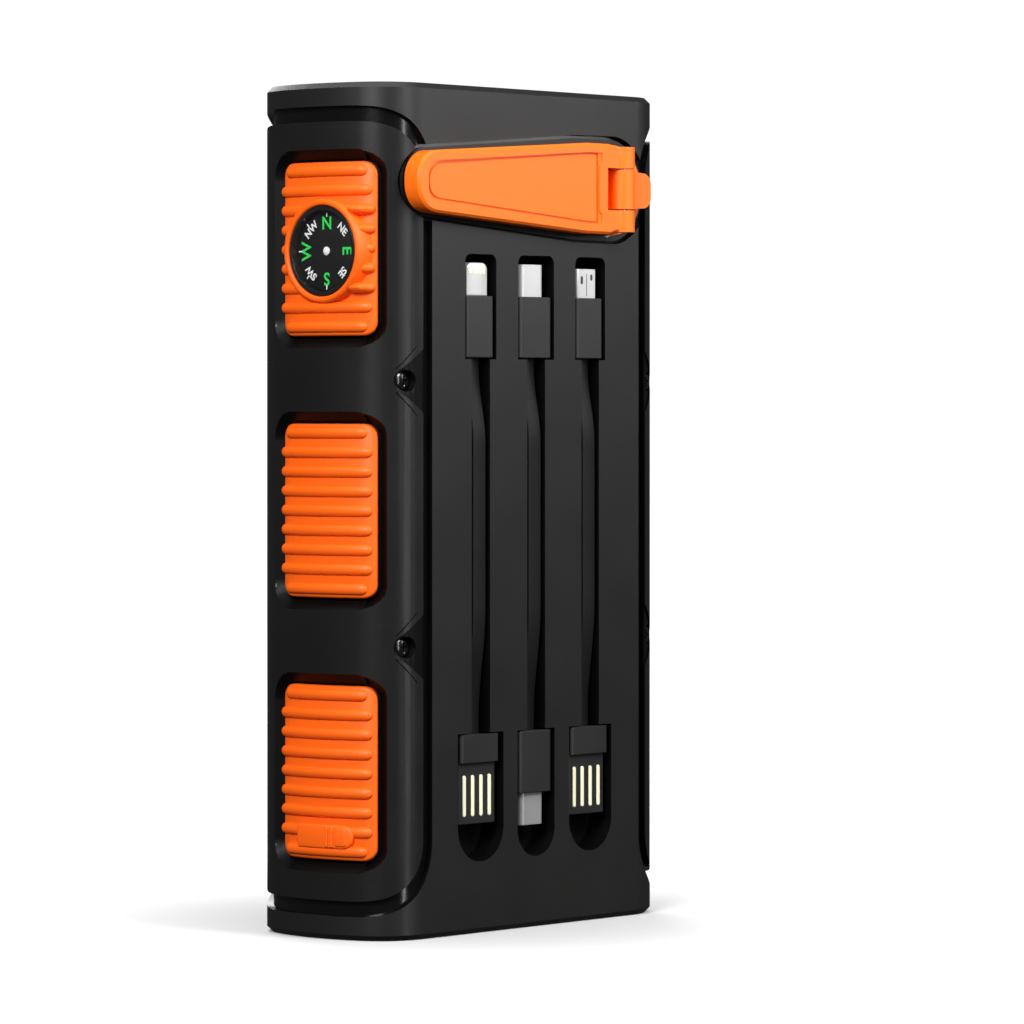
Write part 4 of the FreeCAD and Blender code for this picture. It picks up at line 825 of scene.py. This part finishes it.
def bowed_lead(x):
    """A flat lead that leaves both plugs at mid depth and bows out between them to its channel's mouth."""
    lead_half, lead_thick, edge = 1.9, 1.5, 0.3
    foot, top, foot_straight, foot_bow, top_straight, top_bow = 39.9, 115.5, 3.0, 22.0, 2.0, 15.0
    deep_y, proud_y = -17.25, -19.1
    stations = 60
    shape = bmesh.new()
    rings = []
    for index in range(stations + 1):
        z = foot + (top - foot) * index / stations
        rises = (z - foot - foot_straight) / foot_bow, (top - z - top_straight) / top_bow
        shares = [min(1.0, max(0.0, rise)) for rise in rises]
        swell = math.prod(share * share * (3 - 2 * share) for share in shares)
        face_y = deep_y + (proud_y - deep_y) * swell
        ring = []
        for side, back in ((-1, 0), (1, 0), (1, 1), (-1, 1)):
            for step in range(4):
                lean = math.radians(30 * step if (side, back) in ((1, 0), (-1, 1)) else 90 - 30 * step)
                across = side * (lead_half - edge + edge * math.sin(lean))
                inwards = edge - edge * math.cos(lean)
                y = face_y + (lead_thick - inwards if back else inwards)
                ring.append(shape.verts.new(Vector((x + across, y, z)) * MM))
        rings.append(ring)
    return tube(shape, rings)


for side, centre in zip(("left", "middle", "right"), slot_centres):
    stand_for(link_mesh(f"{side}_cable_ribbon", bowed_lead(centre), lead_rubber_and_tray_shade), f"{side}_cable_lead")


def in_front(x):
    """A rule that puts a flat shape's points in the front view: height, sideways from x, and depth."""
    return lambda along, across, depth: Vector((x + across, depth, along)) * MM


tongue = rounded_plate(127.9, 134.6, 3.1, (0.1, 1.5), edge=0.3, low=-16.8, high=-18.4,
                       place=in_front(slot_centres[0]))
stand_for(link_mesh("left_cable_tip_tongue", tongue, plated_tip), "left_cable_tip")
tooth = rounded_plate(-0.8, 0.8, 0.3, (0.2, 0.2), edge=0.06, low=0.05, high=-0.08, place=in_front(0), turns=3)
teeth = link_mesh("left_cable_teeth", row(tooth, gilt, 5, (slot_centres[0] - 2.0, -18.4, 133.1), (1.0, 0, 0)))
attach(teeth, "left_cable")
strip = rounded_plate(-4.15, 4.15, 0.46, (0.44, 0.44), edge=0.12, low=0.1, high=-0.2, place=in_front(0))
for side, centre in (("left", slot_centres[0]), ("right", slot_centres[2])):
    strips = row(strip.copy(), gilt, 4, (centre - 3.75, -18.22, 27.6), (2.5, 0, 0))
    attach(link_mesh(f"{side}_cable_contacts", strips), f"{side}_cable")
# Thin dark plates on the right cable's tip paint the shade inside its latch slots.
latch_shade_spots = ((-1.5, 131.6, 0.35, 1.7), (1.5, 132.2, 0.35, 1.3), (0.0, 130.6, 0.09, 4.6))
latch_shade_plates = []
for across, along, half, length in latch_shade_spots:
    corner = half * 0.9
    latch_shade_plates.append(rounded_plate(
        along - length / 2, along + length / 2, half, (corner, corner), edge=0.03, low=-18.3, high=-18.43,
        place=in_front(slot_centres[2] + across), turns=3))
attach(link_mesh("right_cable_tip_latch_shades", joined(latch_shade_plates), latch_slot_shade), "right_cable")

# ---- Compass ----
# A black cup with a turning dial on a steel pivot under a clear dome. The dial carries the printed marks:
# green capitals for the four quarters, small white ones between them, and a white tick at each.
dial_face_x = 43.77
quarter_size, quarter_radius = 3.6, 5.45
between_size, between_radius = 2.15, 6.0
tick_radius = 7.25
dome_radius, dome_rise, dome_half, dome_wall, dome_rim = 21.79, 1.9, 8.9, 0.6, 45.35
compass_black = moulded("compass_black", (0.010, 0.010, 0.011), roughness=0.3, grain_mm=0.4, relief_mm=0.003)
mark_green = moulded(
    "mark_green", (0.03, 0.75, 0.10), roughness=0.5, grain_mm=0.2, relief_mm=0.001, cloudiness=0.03)
mark_white = moulded(
    "mark_white", (0.9, 0.9, 0.9), roughness=0.5, grain_mm=0.2, relief_mm=0.001, cloudiness=0.03)
dressed("compass_cup", compass_black, rounding_mm=0.1)
dial = spun([(0.55, 43.3), (0.55, dial_face_x - 0.04), (7.7, dial_face_x - 0.04), (7.85, dial_face_x - 0.15),
             (7.85, 43.3)], across_side(-1), turns=96)
stand_for(link_mesh("compass_dial", dial, compass_black), "compass_card")
pivot_profile = [(0, 43.6), (0.85, 43.6), (0.85, 43.95), (0.6, 44.15), (0, 44.25)]
pivot_cap = spun(pivot_profile, across_side(-1), turns=32)
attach(link_mesh("compass_pivot_cap", pivot_cap, mark_white), "compass_card_body")


def dial_place(turn_deg, radius):
    """The matrix that lays a flat mark on the dial, its top outwards, turned clockwise from north."""
    turn = math.radians(turn_deg)
    right = Vector((0, -math.cos(turn), -math.sin(turn)))
    up = Vector((0, -math.sin(turn), math.cos(turn)))
    spot = Vector((-dial_face_x, compass_y, compass_z)) * MM + up * radius * MM
    return Matrix.Translation(spot) @ Matrix((right, up, Vector((-1, 0, 0)))).transposed().to_4x4()


def capitals(letters, size_mm, radius):
    """Printed capitals on the dial, each at its turn from north, as one thin mesh."""
    meshes = []
    for turn_deg, text in letters.items():
        curve = bpy.data.curves.new(text, "FONT")
        curve.body = text
        curve.size = size_mm * MM
        curve.align_x = "CENTER"
        curve.align_y = "CENTER"
        curve.extrude = 0.02 * MM
        curve.offset = 0.06 * MM
        holder = bpy.data.objects.new(text, curve)
        scene.collection.objects.link(holder)
        graph = bpy.context.evaluated_depsgraph_get()
        mesh = bpy.data.meshes.new_from_object(holder.evaluated_get(graph))
        bpy.data.objects.remove(holder)
        mesh.transform(dial_place(turn_deg, radius))
        meshes.append(mesh)
    return joined(meshes)


quarters = capitals({0: "N", 90: "E", 180: "S", 270: "W"}, quarter_size, quarter_radius)
between = capitals({45: "NE", 135: "SE", 225: "SW", 315: "NW"}, between_size, between_radius)
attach(link_mesh("compass_quarters", quarters, mark_green), "compass_card_body")
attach(link_mesh("compass_half_quarters", between, mark_white), "compass_card_body")

round_ring = Pattern("round_ring", Count=8, Radius=0.007)
ring_points = round_ring.node("GeometryNodeMeshCircle", {}, {
    "Vertices": round_ring.given["Count"], "Radius": round_ring.given["Radius"]})
outwards = round_ring.node("FunctionNodeAlignRotationToVector", {"axis": "Y"}, {
    "Vector": round_ring.node("GeometryNodeInputPosition", {}, {})})
round_ring.close(round_ring.node("GeometryNodeInstanceOnPoints", {}, {
    "Points": ring_points, "Instance": round_ring.given["Shape"], "Rotation": outwards}))
tick = rounded_plate(-0.45, 0.45, 0.14, (0.1, 0.1), edge=0.03, low=-0.02, high=0.06,
                     place=lambda u, v, d: Vector((v, u, d)) * MM, turns=2)
ticks = round_ring.grow(tick, mark_white, Count=8, Radius=tick_radius * MM)
ticks.transform(dial_place(0, 0))
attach(link_mesh("compass_ticks", ticks), "compass_card_body")

clear = Recipe("clear_acrylic", (1.0, 1.0, 1.0), 0.05, Metallic=1.0)
facing = clear.node("ShaderNodeLayerWeight", {}, {"Blend": 0.35}, "Facing")
clear.feed("Alpha", 0.045 + (facing ** 3.0) * 0.4 + (clear.noise(90.0, 2.0) - 0.5) * 0.01)
clear_acrylic = clear.material
dome_centre = dome_rim + dome_rise - dome_radius
outer_rings = [dome_half * step / 14 for step in range(15)]
inner_rings = [radius * 0.985 for radius in reversed(outer_rings)]
dome_profile = [(r, dome_centre + math.sqrt(dome_radius ** 2 - r ** 2)) for r in outer_rings]
dome_profile += [(r, dome_centre + math.sqrt((dome_radius - dome_wall) ** 2 - r ** 2)) for r in inner_rings]
dome = spun(dome_profile, across_side(-1), turns=72)
stand_for(link_mesh("compass_dome", dome, clear_acrylic), "compass_lens")

# ---- Switch, lights, torch and solar panel ----
# The power button and four light pipes on the right side, a two-lamp torch in the top, and a panel of twelve
# dark cells with silver collectors behind a clear sheet in the back.
finger_pitch, finger_share = 1.6, 0.09
collector_pitch, collector_share = 9.4, 0.06
solar_y, solar_z = 18.33, 85.0
columns_wide, rows_high = 29.2, 112.5
button_rubber = moulded("button_rubber", (0.02, 0.02, 0.02), roughness=0.45, grain_mm=0.4, relief_mm=0.005)
dressed("power_button", button_rubber, rounding_mm=0.2)
# The light pipes' milky plastic has a faint painted glow; nothing in the scene lights them from inside.
glowing_pipe = moulded(
    "milky_pipe_glow", (0.75, 0.78, 0.80), roughness=0.3, grain_mm=0.4, relief_mm=0.001, cloudiness=0.04,
    Emission_Strength=0.1)
led_white = moulded("led_white", (0.85, 0.80, 0.45), roughness=0.4, grain_mm=0.4, relief_mm=0.002)
backing = moulded("solar_backing", (0.010, 0.011, 0.014), roughness=0.4, grain_mm=0.4, relief_mm=0.002)
cell = Recipe("solar_cell", (0.012, 0.020, 0.060), 0.28)
cell_x, _, cell_z = cell.axes()
fingers = ((cell_z / (finger_pitch * MM)) % 1.0) < finger_share
collectors = (((cell_x / (collector_pitch * MM)) + 0.5) % 1.0) < collector_share
crystal = cell.node("ShaderNodeTexVoronoi", {}, {"Vector": cell.place, "Scale": 240.0}, "Color")
crystal_tone = cell.node("ShaderNodeSeparateColor", {}, {"Color": crystal})
blue = cell.blend(crystal_tone, (0.008, 0.014, 0.045), (0.016, 0.030, 0.090))
lines = fingers.maths("MAXIMUM", fingers * 0.35, collectors)
cell.feed("Base Color", cell.blend(lines, blue, (0.45, 0.46, 0.48)))
cell.feed("Metallic", lines * 0.8)


def finish_node(name, finish):
    """Give a CAD piece its finish."""
    nodes[name].data.materials.clear()
    nodes[name].data.materials.append(finish)


finish_node("indicator_lights", glowing_pipe)
finish_node("torch_lens", clear_acrylic)
finish_node("torch_leds", led_white)
finish_node("solar_cover", clear_acrylic)
finish_node("solar_panel", backing)
cell_grid = Pattern("cell_grid", Columns=2, Rows=6, Wide=0.028, High=0.110)
grid_points = cell_grid.node("GeometryNodeMeshGrid", {}, {
    "Size X": cell_grid.given["Wide"], "Size Y": cell_grid.given["High"],
    "Vertices X": cell_grid.given["Columns"], "Vertices Y": cell_grid.given["Rows"]})
cell_grid.close(cell_grid.node("GeometryNodeInstanceOnPoints", {}, {
    "Points": grid_points, "Instance": cell_grid.given["Shape"]}))
tile = rounded_plate(-10.6, 10.6, 13.9, (1.2, 1.2), edge=0.05, low=0.0, high=0.12,
                     place=lambda u, v, d: Vector((v, u, d)) * MM, turns=3)
tiles = cell_grid.grow(tile, cell.material, Columns=2, Rows=6, Wide=columns_wide * MM, High=rows_high * MM)
upright = Matrix.Rotation(math.radians(-90), 4, "X")
tiles.transform(Matrix.Translation(Vector((0, solar_y, solar_z)) * MM) @ upright)
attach(link_mesh("solar_cells", tiles), "housing")

# ---- Inside ----
# Three wrapped cells in a grey cradle beside a green board, and the gear train of acetal wheels on steel
# axles between two plates, which drives the dynamo. Nothing here is seen unless the case is opened.
gear_acetal = moulded("gear_acetal", (0.75, 0.73, 0.68), roughness=0.35, grain_mm=0.4, relief_mm=0.002)
turned_brass = moulded(
    "turned_brass", (0.75, 0.52, 0.2), roughness=0.3, grain_mm=0.3, relief_mm=0.002, Metallic=1.0)
copper_wire = moulded(
    "copper_wire", (0.7, 0.28, 0.1), roughness=0.3, grain_mm=0.3, relief_mm=0.01, Metallic=1.0)
cell_wrap = moulded("cell_wrap", (0.04, 0.22, 0.1), roughness=0.3, grain_mm=0.5, relief_mm=0.002)
board_mask = moulded("board_mask", (0.015, 0.13, 0.04), roughness=0.35, grain_mm=0.5, relief_mm=0.004)
inner_plastic = moulded("inner_plastic", (0.10, 0.10, 0.10), roughness=0.5, grain_mm=0.4, relief_mm=0.006)
inner_finishes = {
    gear_acetal: ("drive_gear", "idler_gear_1", "idler_gear_2"),
    drawn_steel: ("crank_shaft", "gear_plate_front", "gear_plate_back", "gearbox_pillars", "idler_axles",
                  "dynamo_can", "dynamo_rotor", "cell_links", "usb_socket", "usb_c_socket"),
    turned_brass: ("hub_bush",),
    copper_wire: ("dynamo_coils",),
    inner_plastic: ("battery_cradle",),
    cell_wrap: ("battery_cell_1", "battery_cell_2", "battery_cell_3"),
    board_mask: ("main_board", "switch_board"),
}
for finish, names in inner_finishes.items():
    for name in names:
        finish_node(name, finish)
